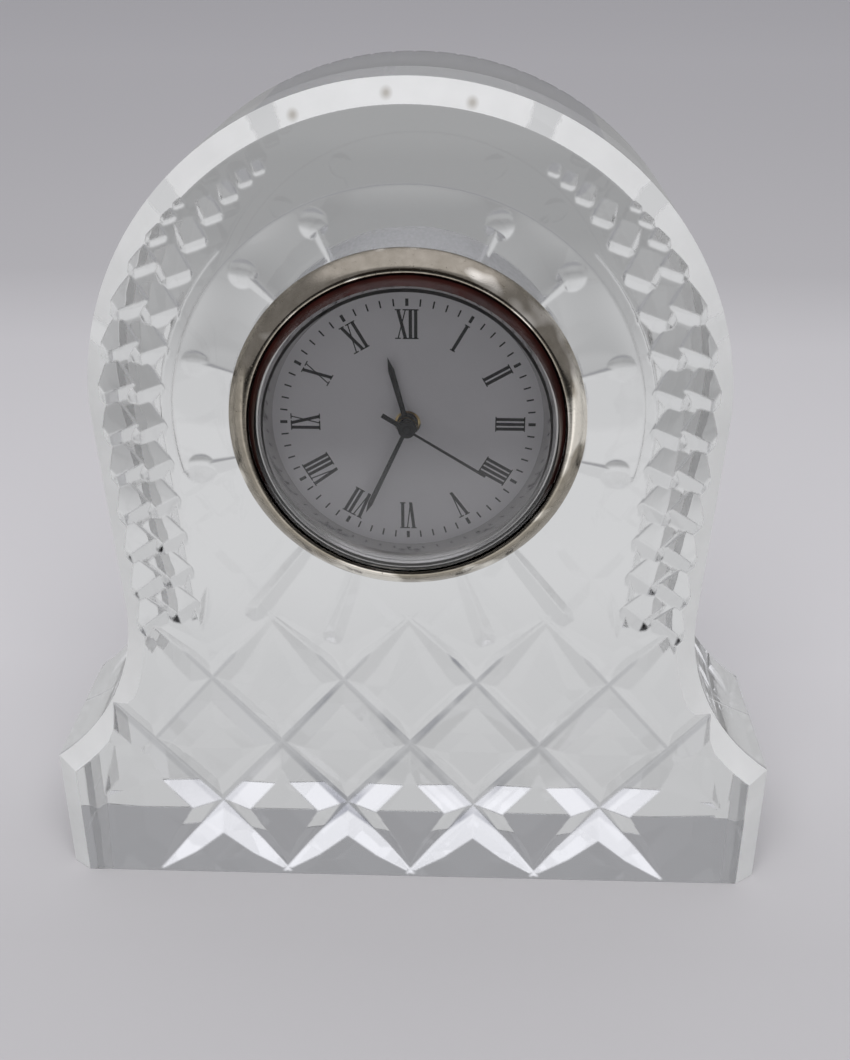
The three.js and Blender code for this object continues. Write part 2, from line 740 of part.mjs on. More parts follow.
function intermediateSolid() {
  const at = intermediatePlace;
  const wheelPart = wheel(teeth.intermediateWheel, pairs.rotor, toRotor, at, intermediateLayer);
  const phase = meshPhase(toIntermediate, toIntermediate, teeth.secondWheel, teeth.intermediatePinion);
  const leaves = pinion(teeth.intermediatePinion, pairs.second, phase, at, ...pinionSpan(secondLayer));
  const hub = disc(at, hubRadius.intermediate, ...hubSpan(secondLayer, intermediateLayer));
  return joined(wheelPart, leaves, hub, disc(at, arborRadius, ...arborSpan));
}

function secondWheelSolid() {
  const wheelPart = wheel(teeth.secondWheel, pairs.second, toIntermediate, centrePlace, secondLayer);
  const leaves = pinion(teeth.secondPinion, pairs.third, toThird, centrePlace, ...pinionSpan(thirdLayer));
  const hub = disc(centrePlace, hubRadius.second, ...hubSpan(thirdLayer, secondLayer));
  const arbor = disc(centrePlace, secondArborRadius, secondHand.front - handSeat, arborSpan[1]);
  return joined(wheelPart, leaves, hub, arbor);
}

function thirdWheelSolid() {
  const phase = meshPhase(toThird, toThird, teeth.secondPinion, teeth.thirdWheel);
  const wheelPart = wheel(teeth.thirdWheel, pairs.third, phase, thirdPlace, thirdLayer);
  const [front, back] = pinionSpan(centreLayer);
  const leaves = pinion(teeth.thirdPinion, pairs.centre, toThird + Math.PI, thirdPlace, front, back);
  const hub = disc(thirdPlace, hubRadius.third, ...hubSpan(centreLayer, thirdLayer));
  return joined(wheelPart, leaves, hub, disc(thirdPlace, arborRadius, ...arborSpan));
}

function centreWheelSolid() {
  const phase = meshPhase(toThird + Math.PI, toThird + Math.PI, teeth.thirdPinion, teeth.centreWheel);
  const wheelPart = wheel(teeth.centreWheel, pairs.centre, phase, centrePlace, centreLayer);
  const tube = disc(centrePlace, centreTube.outer, minuteHand.front + handSeat, centreLayer + wheelThickness);
  return cutBy(joined(wheelPart, tube), bored(centrePlace, centreTube.inner));
}

function cannonSolid() {
  const [front, back] = pinionSpan(motionLayer);
  const leaves = pinion(teeth.cannonPinion, pairs.motion, toMotion, centrePlace, front, back);
  const tube = disc(centrePlace, cannonTube.outer, minuteHand.front - handSeat, back);
  return cutBy(joined(leaves, tube), bored(centrePlace, cannonTube.inner));
}

function motionWheelSolid() {
  const phase = meshPhase(toMotion, toMotion, teeth.cannonPinion, teeth.motionWheel);
  const wheelPart = wheel(teeth.motionWheel, pairs.motion, phase, motionPlace, motionLayer);
  const [front] = pinionSpan(hourLayer);
  const back = motionLayer + hubInset;
  const leaves = pinion(teeth.motionPinion, pairs.hour, toMotion + Math.PI, motionPlace, front, back);
  return cutBy(joined(wheelPart, leaves), bored(motionPlace, arborRadius + pivotGap));
}

function hourWheelSolid() {
  const phase = meshPhase(toMotion + Math.PI, toMotion + Math.PI, teeth.motionPinion, teeth.hourWheel);
  const wheelPart = wheel(teeth.hourWheel, pairs.hour, phase, centrePlace, hourLayer);
  const tube = disc(centrePlace, hourTube.outer, hourHand.front - handSeat / 2, hourLayer + wheelThickness);
  return cutBy(joined(wheelPart, tube), bored(centrePlace, hourTube.inner));
}

function setPinionSolid() {
  const motionPhase = meshPhase(toMotion, toMotion, teeth.cannonPinion, teeth.motionWheel);
  const phase = meshPhase(toSet, motionPhase, teeth.motionWheel, teeth.setPinion);
  const leaves = pinion(teeth.setPinion, pairs.motion, phase, setPlace, ...pinionSpan(motionLayer));
  const arborBack = coverBack + knobGap + knobSocketDepth - seatOverlap;
  return joined(leaves, disc(setPlace, setArborRadius, motionLayer, arborBack));
}

function knobSolid() {
  const front = coverBack + knobGap;
  const back = front + knobLength;
  const pitch = 2 * Math.PI / knobFlutes;
  const flank = [[-0.3, knobRadius], [0.3, knobRadius], [0.5, knobRadius - knobFluteDepth]];
  const points = [];
  for (let flute = 0; flute < knobFlutes; flute++) {
    for (const [share, radius] of flank) {
      points.push(polarFrom(setPlace, (flute + share) * pitch, radius));
    }
  }
  const socket = disc(setPlace, setArborRadius + seatGap, front - cutOvershoot, front + knobSocketDepth);
  return cutBy(prism(polygon(points), front, back), socket);
}

// Hands: flat strips with a pointed tip and a round boss
function handSolid({ length, width, angle, front }, bossRadius, boreOfBoss) {
  const half = width / 2;
  const tipLength = handTipShare * width;
  const blade = new THREE.Shape();
  blade.moveTo(0, -half * handRootShare);
  blade.lineTo(length - tipLength, -half);
  blade.lineTo(length, 0);
  blade.lineTo(length - tipLength, half);
  blade.lineTo(0, half * handRootShare);
  blade.closePath();
  const back = front + handThickness;
  const boss = disc([0, 0], bossRadius, front, back, wellFacets);
  const strip = prism(blade, front, back).rotate([0, angle - 90, 0]);
  return cutBy(joined(strip, boss), bored([0, 0], boreOfBoss));
}

function secondHandSolid() {
  const { length, width, angle, front } = secondHand;
  const back = front + handThickness;
  const blade = prism(rectangle(0, -width / 2, length, width / 2), front, back);
  const tail = prism(rectangle(-secondTail, -secondTailWidth / 2, 0, secondTailWidth / 2), front, back);
  const boss = disc([0, 0], handBossRadius, front, back, wellFacets);
  const strip = joined(blade, tail).rotate([0, angle - 90, 0]);
  return cutBy(joined(strip, boss), bored([0, 0], secondArborRadius + handFit));
}

// Plates, coil, board and contacts
const coilCoreHalf = 0.5;
const coilCoreEnds = [coilPlace.left - coreOverhang.left, rotorPlace[0] + coreOverhang.right];
const statorPostPlaces = coilCoreEnds.map((end, i) => [end + (i ? -1 : 1) * coilCoreHalf, coilPlace.height]);

function mainPlateSolid() {
  const blank = disc([0, 0], plateRadius, plateFront, plateBack, plateFacets);
  const rooted = plateBack - seatOverlap;
  const pillars = screwPlaces.map((place) => disc(place, pillarRadius, rooted, bridgeFront));
  const post = disc(motionPlace, arborRadius, hourLayer - seatOverlap, plateFront + seatOverlap);
  const statorPosts = statorPostPlaces.map((place) => disc(place, coilCoreHalf, rooted, statorFront));
  const tapped = [bridgeFront - screwShankLength - screwHoleSpare, bridgeFront + cutOvershoot];
  const holes = [
    bored(centrePlace, centreTube.outer + pivotGap),
    bored(setPlace, setArborRadius + pivotGap),
    ...[thirdPlace, intermediatePlace, rotorPlace].map((place) => bored(place, arborRadius + pivotGap)),
    ...screwPlaces.map((place) => disc(place, screwShankRadius + screwHoleGap, ...tapped)),
  ];
  return cutBy(joined(blank, ...pillars, ...statorPosts, post), ...holes);
}

function bridgeSolid() {
  const strips = [
    capsule(screwPlaces[0], thirdPlace, bridgeEyeRadius),
    capsule(thirdPlace, centrePlace, bridgeEyeRadius),
    capsule(centrePlace, intermediatePlace, bridgeEyeRadius),
    capsule(intermediatePlace, rotorPlace, bridgeEyeRadius),
    capsule(intermediatePlace, screwPlaces[1], bridgeEyeRadius),
    capsule(rotorPlace, screwPlaces[2], bridgeEyeRadius),
  ].map((shape) => prism(shape, bridgeFront, bridgeBack, 4));
  const holes = [
    bored(centrePlace, secondArborRadius + pivotGap),
    ...[thirdPlace, intermediatePlace, rotorPlace].map((place) => bored(place, arborRadius + pivotGap)),
    ...screwPlaces.map((place) => bored(place, screwShankRadius + screwHoleGap)),
  ];
  return cutBy(joined(...strips), ...holes);
}

function screwSolid(place) {
  const top = bridgeBack + screwHeadHeight;
  const head = disc(place, screwHeadRadius, bridgeBack, top);
  const shank = disc(place, screwShankRadius, bridgeFront - screwShankLength, bridgeBack + seatOverlap);
  const [x, z] = place;
  const { halfWidth, depth, overrun } = screwSlot;
  const reach = screwHeadRadius + overrun;
  const slot = rectangle(x - reach, z - halfWidth, x + reach, z + halfWidth);
  return cutBy(joined(head, shank), prism(slot, top - depth, top + cutOvershoot));
}

function statorSolid() {
  const back = statorFront + statorThickness;
  const [left, right] = coilCoreEnds;
  const [rotorX, rotorZ] = rotorPlace;
  const { edge, foot, rotorSide } = statorWindow;
  const shape = rectangle(left, rotorZ - statorFoot, right, coilPlace.height + coilCoreHalf);
  const eye = disc(rotorPlace, statorEyeRadius, statorFront, back, wellFacets);
  const window = rectangle(left + edge, rotorZ + foot, rotorX - rotorSide, coilPlace.height + edge);
  const gap = prism(window, statorFront - cutOvershoot, back + cutOvershoot);
  const rotorHole = bored(rotorPlace, rotorMagnet.radius + rotorClearance, wellFacets);
  return cutBy(joined(prism(shape, statorFront, back), eye), gap, rotorHole);
}

function coilCoreSolid() {
  const [left, right] = coilCoreEnds;
  const front = statorFront + statorThickness;
  const { height } = coilPlace;
  const bar = rectangle(left, height - coilCoreHalf, right, height + coilCoreHalf);
  return prism(bar, front, front + statorThickness);
}

function coilSolid() {
  const { left, right, height, radius, flange, step } = coilPlace;
  const depth = statorFront + 1.5 * statorThickness;
  const geometry = new THREE.LatheGeometry([
    [0, left], [radius, left], [radius, left + flange], [radius - step, left + flange],
    [radius - step, right - flange], [radius, right - flange], [radius, right], [0, right],
  ].map(([r, along]) => new THREE.Vector2(r, along)), wellFacets);
  geometry.rotateZ(-Math.PI / 2);
  geometry.translate(0, depth, height);
  const half = coilCoreHalf + coreGap;
  const passage = rectangle(left - 1, height - half, right + 1, height + half);
  const coreFront = statorFront + statorThickness;
  return cutBy(solidOf(geometry), prism(passage, coreFront - coreGap, coreFront + statorThickness + coreGap));
}

function boardSolid() {
  const [from, to] = boardAngles.map(degrees);
  const shape = new THREE.Shape();
  shape.absarc(0, 0, boardRadius, from, to, false);
  shape.absarc(0, 0, boardInnerRadius, to, from, true);
  shape.closePath();
  return cutBy(prism(shape, plateBack, boardBack), bored(setPlace, setArborRadius + 2 * fitGap));
}

function quartzCanSolid() {
  const { radius, length, place: [x, z], turn } = quartzCan;
  const geometry = new THREE.CapsuleGeometry(radius, length - 2 * radius, 3, 14);
  geometry.rotateZ(Math.PI / 2);
  geometry.rotateY(degrees(-turn));
  geometry.translate(x, boardBack + radius + handFit, z);
  return solidOf(geometry);
}

function chipSolid() {
  const { radius, rise, place: [x, z], dome } = chip;
  const bulge = dome.map(([across, deep]) => [across * radius, deep * rise]);
  const profile = [[0, 0], [radius, 0], ...bulge, [0, rise]];
  const points = profile.map(([r, depth]) => new THREE.Vector2(r, boardBack + depth));
  const geometry = new THREE.LatheGeometry(points, wellFacets);
  geometry.translate(x, 0, z);
  return solidOf(geometry);
}

// Bent leaf springs that touch the battery's can and its front cap
function leafSolid(points, width, place, turn) {
  const half = springThickness / 2;
  const shape = new THREE.Shape();
  const upper = points.map(([along, depth]) => [along, depth - half]);
  const lower = points.map(([along, depth]) => [along, depth + half]).reverse();
  [...upper, ...lower].forEach((point, i) => (i === 0 ? shape.moveTo(...point) : shape.lineTo(...point)));
  shape.closePath();
  const geometry = new THREE.ExtrudeGeometry(shape, { depth: width, bevelEnabled: false });
  geometry.translate(0, 0, -width / 2);
  geometry.rotateY(degrees(turn));
  geometry.translate(place[0], 0, place[1]);
  return solidOf(geometry);
}

function negativeContactSolid() {
  const touch = batteryFront - batteryGap;
  const low = boardBack + batteryGap;
  const { foot, bend, rise, end, turn } = negativeSpring;
  return leafSolid([[foot, low], [bend, low], [rise, touch], [end, touch]], springWidth, batteryPlace, turn);
}

function positiveContactSolid() {
  const foot = boardBack + batteryGap;
  const { base, turn, below } = positiveSpring;
  const top = caseDepth - below;
  const place = sumPlaces(batteryPlace, polar(-turn, batteryRadius + fitGap));
  const stem = new THREE.BoxGeometry(springThickness, top - foot, springWidth);
  stem.translate(springThickness / 2, (top + foot) / 2, 0);
  const tab = new THREE.BoxGeometry(base, springThickness, springWidth);
  tab.translate(base / 2, foot, 0);
  const solid = joined(solidOf(stem), solidOf(tab));
  return solid.rotate([0, turn, 0]).translate([place[0], 0, place[1]]);
}

// Assembly
const clock = new THREE.Group();
const insert = new THREE.Group();
insert.position.set(0, frontFace, dialHeight);
clock.add(insert);

function place(group, name, solid, finish) {
  const mesh = new THREE.Mesh(geometryOf(solid), new THREE.MeshStandardMaterial(finish));
  mesh.name = name;
  group.add(mesh);
}

place(clock, 'crystal_body', crystalSolid(), finishes.crystal);
place(insert, 'bezel', bezelSolid(), finishes.goldPlate);
place(insert, 'lens', lensSolid(), finishes.lens);
place(insert, 'reflector_ring', reflectorSolid(), finishes.steel);
place(insert, 'dial', dialSolid(), finishes.dial);
const hourHandSolid = handSolid(hourHand, hourBossRadius, hourTube.outer + handFit);
const minuteHandSolid = handSolid(minuteHand, handBossRadius, cannonTube.outer + handFit);
place(insert, 'hour_hand', hourHandSolid, finishes.black);
place(insert, 'minute_hand', minuteHandSolid, finishes.black);
place(insert, 'second_hand', secondHandSolid(), finishes.black);
place(insert, 'movement_case', caseSolid(), finishes.steel);
place(insert, 'grip_ring', gripSolid(), finishes.rubber);
place(insert, 'back_cover', coverSolid(), finishes.steel);
place(insert, 'battery_hatch', hatchSolid(), finishes.steel);
place(insert, 'battery', batterySolid(), finishes.steel);
place(insert, 'main_plate', mainPlateSolid(), finishes.plastic);
place(insert, 'train_bridge', bridgeSolid(), finishes.brass);
screwPlaces.forEach((at, i) => place(insert, `bridge_screw_${i + 1}`, screwSolid(at), finishes.steel));
place(insert, 'rotor_magnet', rotorMagnetSolid(), finishes.black);
place(insert, 'rotor_pinion', rotorPinionSolid(), finishes.steel);
place(insert, 'intermediate_wheel', intermediateSolid(), finishes.brass);
place(insert, 'second_wheel', secondWheelSolid(), finishes.brass);
place(insert, 'third_wheel', thirdWheelSolid(), finishes.brass);
place(insert, 'centre_wheel', centreWheelSolid(), finishes.brass);
place(insert, 'cannon_pinion', cannonSolid(), finishes.steel);
place(insert, 'motion_wheel', motionWheelSolid(), finishes.brass);
place(insert, 'hour_wheel', hourWheelSolid(), finishes.brass);
place(insert, 'set_pinion', setPinionSolid(), finishes.steel);
place(insert, 'set_knob', knobSolid(), finishes.black);
place(insert, 'stator', statorSolid(), finishes.steel);
place(insert, 'coil_core', coilCoreSolid(), finishes.steel);
place(insert, 'coil_winding', coilSolid(), finishes.copper);
place(insert, 'circuit_board', boardSolid(), finishes.board);
place(insert, 'quartz_can', quartzCanSolid(), finishes.steel);
place(insert, 'driver_chip', chipSolid(), finishes.black);
place(insert, 'negative_contact', negativeContactSolid(), finishes.brass);
place(insert, 'positive_contact', positiveContactSolid(), finishes.brass);

export default clock;
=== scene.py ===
"""Miniature crystal clock: a wheel-cut crystal arch with a small quartz clock set in its bore."""
import json
import math

import bmesh
import bpy
from mathutils import Matrix, Vector

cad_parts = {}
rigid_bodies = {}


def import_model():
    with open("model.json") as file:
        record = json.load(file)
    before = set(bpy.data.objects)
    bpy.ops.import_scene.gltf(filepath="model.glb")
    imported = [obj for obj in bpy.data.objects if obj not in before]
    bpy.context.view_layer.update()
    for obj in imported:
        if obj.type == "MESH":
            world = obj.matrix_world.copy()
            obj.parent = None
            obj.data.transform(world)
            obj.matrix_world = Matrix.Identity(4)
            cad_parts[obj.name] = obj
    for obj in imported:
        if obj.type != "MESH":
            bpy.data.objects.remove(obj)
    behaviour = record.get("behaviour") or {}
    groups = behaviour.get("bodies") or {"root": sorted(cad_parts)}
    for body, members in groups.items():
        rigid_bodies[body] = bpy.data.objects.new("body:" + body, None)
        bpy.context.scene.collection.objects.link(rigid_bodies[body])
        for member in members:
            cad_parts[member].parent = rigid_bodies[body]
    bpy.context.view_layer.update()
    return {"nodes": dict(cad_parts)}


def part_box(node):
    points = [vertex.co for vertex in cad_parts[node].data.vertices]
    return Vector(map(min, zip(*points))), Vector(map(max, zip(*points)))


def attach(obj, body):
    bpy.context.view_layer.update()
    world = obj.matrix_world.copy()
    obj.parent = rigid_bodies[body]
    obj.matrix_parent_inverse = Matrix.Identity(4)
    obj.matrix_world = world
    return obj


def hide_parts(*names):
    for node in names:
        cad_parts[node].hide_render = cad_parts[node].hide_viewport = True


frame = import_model()
MM = 0.001

# Crystal block
# One piece of clear lead crystal, cast as an arch with a flared foot, ground flat, and then cut by hand on
# stone wheels: a bevel round the front, V grooves crossed into diamonds, rays, olives and ropes of leaves.
block_low, block_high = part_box("crystal_body")
dial_low, dial_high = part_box("dial")
FRONT = block_low.y
BACK = block_high.y
DIAL_HEIGHT = (dial_low.z + dial_high.z) / 2
ARCH_RADIUS = 24.8 * MM
ARCH_HEIGHT = block_high.z - ARCH_RADIUS
FOOT_HALF = block_high.x
FOOT_HEIGHT = 12 * MM
WAIST_HALF = 23.8 * MM
WAIST_HEIGHT = 27 * MM
FRONT_BEVEL = (1.7 * MM, 1.2 * MM)
BACK_BEVEL = (0.8 * MM, 0.8 * MM)
BORE_RADIUS = 12.5 * MM
GROUND = 3 * MM
PROUD = 0.3 * MM
SATIN = 1
GROUND_EDGE = 2
WELD = 1e-7
FACING = 0.9
FLARE_STEPS = 14
ARCH_STEPS = 96


def swing(bm, vert, centre, angle, steps):
    """Draws an arc from a vertex round a centre in the front plane, and returns the arc's last vertex."""
    spun = bmesh.ops.spin(bm, geom=[vert], cent=centre, axis=(0, 1, 0), angle=angle, steps=steps)
    return next(part for part in spun["geom_last"] if isinstance(part, bmesh.types.BMVert))


def line_to(bm, vert, place):
    """Draws a straight edge from a vertex, and returns its other end."""
    end = bm.verts.new(place)
    bm.edges.new((vert, end))
    return end


def draw_out(bm, faces, by):
    """Gives flat faces a thickness, and returns the vertices of their far side."""
    drawn = bmesh.ops.extrude_face_region(bm, geom=faces, use_keep_orig=True)["geom"]
    far = [part for part in drawn if isinstance(part, bmesh.types.BMVert)]
    bmesh.ops.translate(bm, verts=far, vec=by)
    return far


def new_piece(name, bm, body, smooth=None):
    """Turns a bmesh into a finished object that rides on a body. Edges sharper than smooth stay crisp."""
    bmesh.ops.remove_doubles(bm, verts=bm.verts, dist=WELD)
    bmesh.ops.recalc_face_normals(bm, faces=bm.faces)
    mesh = bpy.data.meshes.new(name)
    bm.to_mesh(mesh)
    bm.free()
    piece = bpy.data.objects.new(name, mesh)
    bpy.context.scene.collection.objects.link(piece)
    if smooth is not None:
        soften(mesh, smooth)
    if body:
        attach(piece, body)
    return piece


def soften(mesh, angle):
    """Shades a mesh smooth, except across edges sharper than the angle."""
    mesh.shade_smooth()
    mesh.set_sharp_from_angle(angle=math.radians(angle))


def block_blank():
    """The uncut block: its outline drawn by arcs, drawn out in depth, with both bevels ground on."""
    bm = bmesh.new()
    flare_rise = WAIST_HEIGHT - FOOT_HEIGHT
    flare_run = FOOT_HALF - WAIST_HALF
    flare_radius = (flare_run**2 + flare_rise**2) / (2 * flare_run)
    flare = math.asin(flare_rise / flare_radius)
    y = FRONT + FRONT_BEVEL[1]
    start = bm.verts.new((-FOOT_HALF, y, -GROUND))
    vert = line_to(bm, start, (-FOOT_HALF, y, FOOT_HEIGHT))
    vert = swing(bm, vert, (-WAIST_HALF - flare_radius, y, WAIST_HEIGHT), -flare, FLARE_STEPS)
    vert = line_to(bm, vert, (-ARCH_RADIUS, y, ARCH_HEIGHT))
    vert = swing(bm, vert, (0, y, ARCH_HEIGHT), math.pi, ARCH_STEPS)
    vert = line_to(bm, vert, (WAIST_HALF, y, WAIST_HEIGHT))
    vert = swing(bm, vert, (WAIST_HALF + flare_radius, y, WAIST_HEIGHT), -flare, FLARE_STEPS)
    vert = line_to(bm, vert, (FOOT_HALF, y, -GROUND))
    bm.edges.new((vert, start))
    face = bmesh.ops.contextual_create(bm, geom=bm.edges)["faces"][0]
    draw_out(bm, [face], (0, BACK - BACK_BEVEL[1] - y, 0))
    bmesh.ops.recalc_face_normals(bm, faces=bm.faces)
    for direction, (width, rise) in ((-1, FRONT_BEVEL), (1, BACK_BEVEL)):
        ends = [f for f in bm.faces if f.normal.y * direction > FACING]
        bevel = bmesh.ops.inset_region(bm, faces=ends, thickness=width, depth=rise, use_even_offset=True)
        for face in bevel["faces"]:
            face.material_index = SATIN if direction < 0 else GROUND_EDGE
    everything = bm.verts[:] + bm.edges[:] + bm.faces[:]
    cut = bmesh.ops.bisect_plane(bm, geom=everything, plane_no=(0, 0, -1), clear_outer=True)
    bmesh.ops.holes_fill(bm, edges=[e for e in cut["geom_cut"] if isinstance(e, bmesh.types.BMEdge)])
    return bm


def hull(points):
    """A wheel's cut is the hull of a few points along it."""
    bm = bmesh.new()
    verts = [bm.verts.new(point) for point in points]
    bmesh.ops.convex_hull(bm, input=verts)
    return bm


def wheel_cut(sections):
    """One pass of a V-edged wheel. Sections along it are (x, z, half width, depth)."""
    (x0, z0, *_), (x1, z1, *_) = sections[0], sections[-1]
    along = Vector((x1 - x0, 0, z1 - z0)).normalized()
    across = Vector((-along.z, 0, along.x))
    points = []
    for x, z, half, depth in sections:
        middle = Vector((x, FRONT, z))
        flank = half / depth if depth else 0
        if depth:
            points.append(middle + Vector((0, depth, 0)))
        for side in (-1, 1):
            points.append(middle + side * (half + flank * PROUD) * across - Vector((0, PROUD, 0)))
            if not depth:
                points.append(middle + side * half * across)
    return hull(points)


GROOVE = (1.72 * MM, 0.99 * MM)
SHOULDER = (2.6 * MM, 0.55 * MM)
SHOULDER_START = (8.5 * MM, 12.5 * MM)
GROOVE_START = [(0.3, 0.1, 0), (3.2, 1.3, 0.75), (7.2, 2.1, 1.21), (11, 1.72, 0.99)]
CORNER_START = [(11.5, 0.1, 0), (14, 1.72, 0.99)]
CORNER = 23 * MM
GROOVE_END = 0.1 * MM
GROOVE_LINES = range(-3, 3)
DIAMOND_WIDTH = 11.34 * MM
DIAMOND_SLOPE = 6.67 / 5.67
DIAMOND_CROSS = 14.1 * MM
DIAMOND_FULL = 23 * MM
DIAMOND_TOP = 28.4 * MM


def lattice_cuts():
    """Two crossing sets of V grooves rise from the foot and fade out below the dial. Two wheels cut each."""
    for side in (-1, 1):
        for line in GROOVE_LINES:
            def at(height):
                return side * (line * DIAMOND_WIDTH + (height - DIAMOND_CROSS) / DIAMOND_SLOPE)
            full, top = at(DIAMOND_FULL), at(DIAMOND_TOP)
            run_out = (top, DIAMOND_TOP, GROOVE_END, 0)
            rise = CORNER_START if abs(at(GROOVE_START[2][0] * MM)) > CORNER else GROOVE_START
            steps = [(at(z * MM), z * MM, half * MM, deep * MM) for z, half, deep in rise]
            yield wheel_cut([*steps, (full, DIAMOND_FULL, *GROOVE), run_out])
            start, broad = SHOULDER_START
            yield wheel_cut([
                (at(start), start, GROOVE_END, 0), (at(broad), broad, *SHOULDER),
                (full, DIAMOND_FULL, *SHOULDER), run_out,
            ])


RAY_START = (13 * MM, 0.55 * MM, 0.35 * MM)
RAY_HALF = 0.75 * MM
RAY_DEPTH = 0.5 * MM
RAY_THUMB = (1.4 * MM, 0.55 * MM, 1.25 * MM)
RAYS = [23.5, 46, 74, 103.5]
RAY_REACH = 18.1 * MM
LONG_RAYS = {143: 21.9 * MM, 161.5: 20.8 * MM}
LONG_RAY_END = (0.95 * MM, 0.8 * MM, 0.7 * MM)


def bite(place, size):
    """A round wheel's bite: a shallow hollow, long, deep and wide as size says."""
    bm = bmesh.new()
    bmesh.ops.create_uvsphere(bm, u_segments=32, v_segments=24, radius=1)
    length, depth, width = size
    share = math.sqrt(3) / 2
    spread = Matrix.Diagonal((width / share, 2 * depth, length / share, 1))
    bmesh.ops.transform(bm, matrix=place @ Matrix.Translation((0, -depth, 0)) @ spread, verts=bm.verts)
    return bm


def ray_cuts():
    """Rays start under the bezel. The upper ones end in a round thumb, the lower ones in a blunt end."""
    for angle in [*RAYS, *LONG_RAYS]:
        for side in (-1, 1):
            turn = math.radians(side * angle)

            def at(radius):
                return radius * math.sin(turn), DIAL_HEIGHT + radius * math.cos(turn)
            if angle in RAYS:
                x, z = at(RAY_REACH - RAY_THUMB[0])
                yield wheel_cut([(*at(RAY_START[0]), *RAY_START[1:]), (x, z, RAY_HALF, RAY_DEPTH)])
                yield bite(Matrix.Translation((x, FRONT, z)) @ Matrix.Rotation(turn, 4, "Y"), RAY_THUMB)
            else:
                end = LONG_RAYS[angle]
                half, depth, slope = LONG_RAY_END
                yield wheel_cut([
                    (*at(RAY_START[0]), *RAY_START[1:]),
                    (*at(end - slope), half, depth),
                    (*at(end), 0.6 * half, 0),
                ])


PANEL = {"inner": 13.75 * MM, "outer": RAY_REACH, "depth": 0.28 * MM, "clear": 0.01 * MM}
PANEL_EDGES = [*(-angle for angle in reversed(RAYS)), *RAYS]
PANEL_LAP = math.radians(0.3)


def panel_cuts():
    """Between the rays the face is worked into low pillows, highest in the middle, that end on one circle."""
    for first, last in zip(PANEL_EDGES, PANEL_EDGES[1:]):
        bm = bmesh.new()
        bmesh.ops.create_grid(bm, x_segments=16, y_segments=10, size=0.5)
        low = math.radians(first) - PANEL_LAP
        span = math.radians(last - first) + 2 * PANEL_LAP
        for vert in bm.verts:
            across, out = 2 * vert.co.x, vert.co.y + 0.5
            angle = low + (vert.co.x + 0.5) * span
            radius = PANEL["inner"] + out * (PANEL["outer"] - PANEL["inner"])
            fall = 1 - (1 - across**2) * (1 - out**4)
            vert.co = (
                radius * math.sin(angle), FRONT + PANEL["depth"] * fall - PANEL["clear"],
                DIAL_HEIGHT + radius * math.cos(angle))
        for vert in draw_out(bm, bm.faces[:], (0, 0, 0)):
            vert.co.y = FRONT - PROUD
        yield bm


OLIVE = {"x": 16.9 * MM, "z": 28.1 * MM, "half_length": 2.3 * MM, "half_width": 0.5 * MM, "depth": 0.35 * MM}
OLIVE_TILT = math.radians(10)


def olive_cuts():
    """A single pointed olive stands beside each rope's lower end."""
    for side in (-1, 1):
        sections = []
        for step in range(-5, 6):
            share = step / 5
            run = share * OLIVE["half_length"]
            fade = 1 - share**2
            sections.append((
                side * (OLIVE["x"] - run * math.sin(OLIVE_TILT)), OLIVE["z"] + run * math.cos(OLIVE_TILT),
                OLIVE["half_width"] * fade, OLIVE["depth"] * fade))
        yield wheel_cut(sections)


ROPE_COLUMNS = [
    {
        "radius": 20.05, "foot_x": 18.6, "foot": 27.9, "pitch": 3.2, "half_length": 1.35,
        "start": 26, "full": 62, "swell": 1.6,
    },
    {
        "radius": 22.35, "foot_x": 21.5, "foot": 26.6, "pitch": 3.42, "half_length": 1.55,
        "start": 44, "full": 68, "swell": 0.8,
    },
]
ROPE_EDGE = {"radius": 18.85 * MM, "start": 46, "end": 98, "fade": 22, "foot": (17.5 * MM, 27.1 * MM)}
ROPE_EDGE_SECTION = [(0.15 * MM, 0.5 * MM), (0, -PROUD), (0.95 * MM, -PROUD)]
ROPE_EDGE_STEPS = 12
ROPE_EDGE_LAP = 0.4
ROPE_FOOT = 28.2 * MM
LEAF_DEPTH = 0.85 * MM
LEAF_RISE = 2.65 * MM
LEAF_DROP = 0.8 * MM
LEAF_TILT = (20, 38)
LEAF_TURN = 2.2
LEAF_SMALLEST = 0.25
LEAF_SHAPE = [(-1.1, 0.35), (-0.8, 0.95), (0, 1), (0.8, 0.95), (1.1, 0.35)]


def leaf_cut(side, x, z, size, half_length):
    """One leaf of a rope. The wheel's steep edge cuts the short lower flank, its broad edge the upper one."""
    share = (z - ROPE_FOOT) / (block_high.z - ROPE_FOOT)
    tilt = math.radians(LEAF_TILT[1] + (LEAF_TILT[0] - LEAF_TILT[1]) * min(1, max(0, LEAF_TURN * share)))
    along = Vector((-side * math.cos(tilt), 0, math.sin(tilt)))
    up = Vector((side * math.sin(tilt), 0, math.cos(tilt)))
    points = []
    for run, depth in LEAF_SHAPE:
        depth = depth * size * LEAF_DEPTH
        middle = Vector((x, FRONT, z)) + run * size * half_length * along
        points.append(middle + Vector((0, depth, 0)))
        for direction, reach in ((1, LEAF_RISE), (-1, LEAF_DROP)):
            flank = reach / LEAF_DEPTH * (depth + PROUD)
            points.append(middle + direction * flank * up - Vector((0, PROUD, 0)))
    return hull(points)


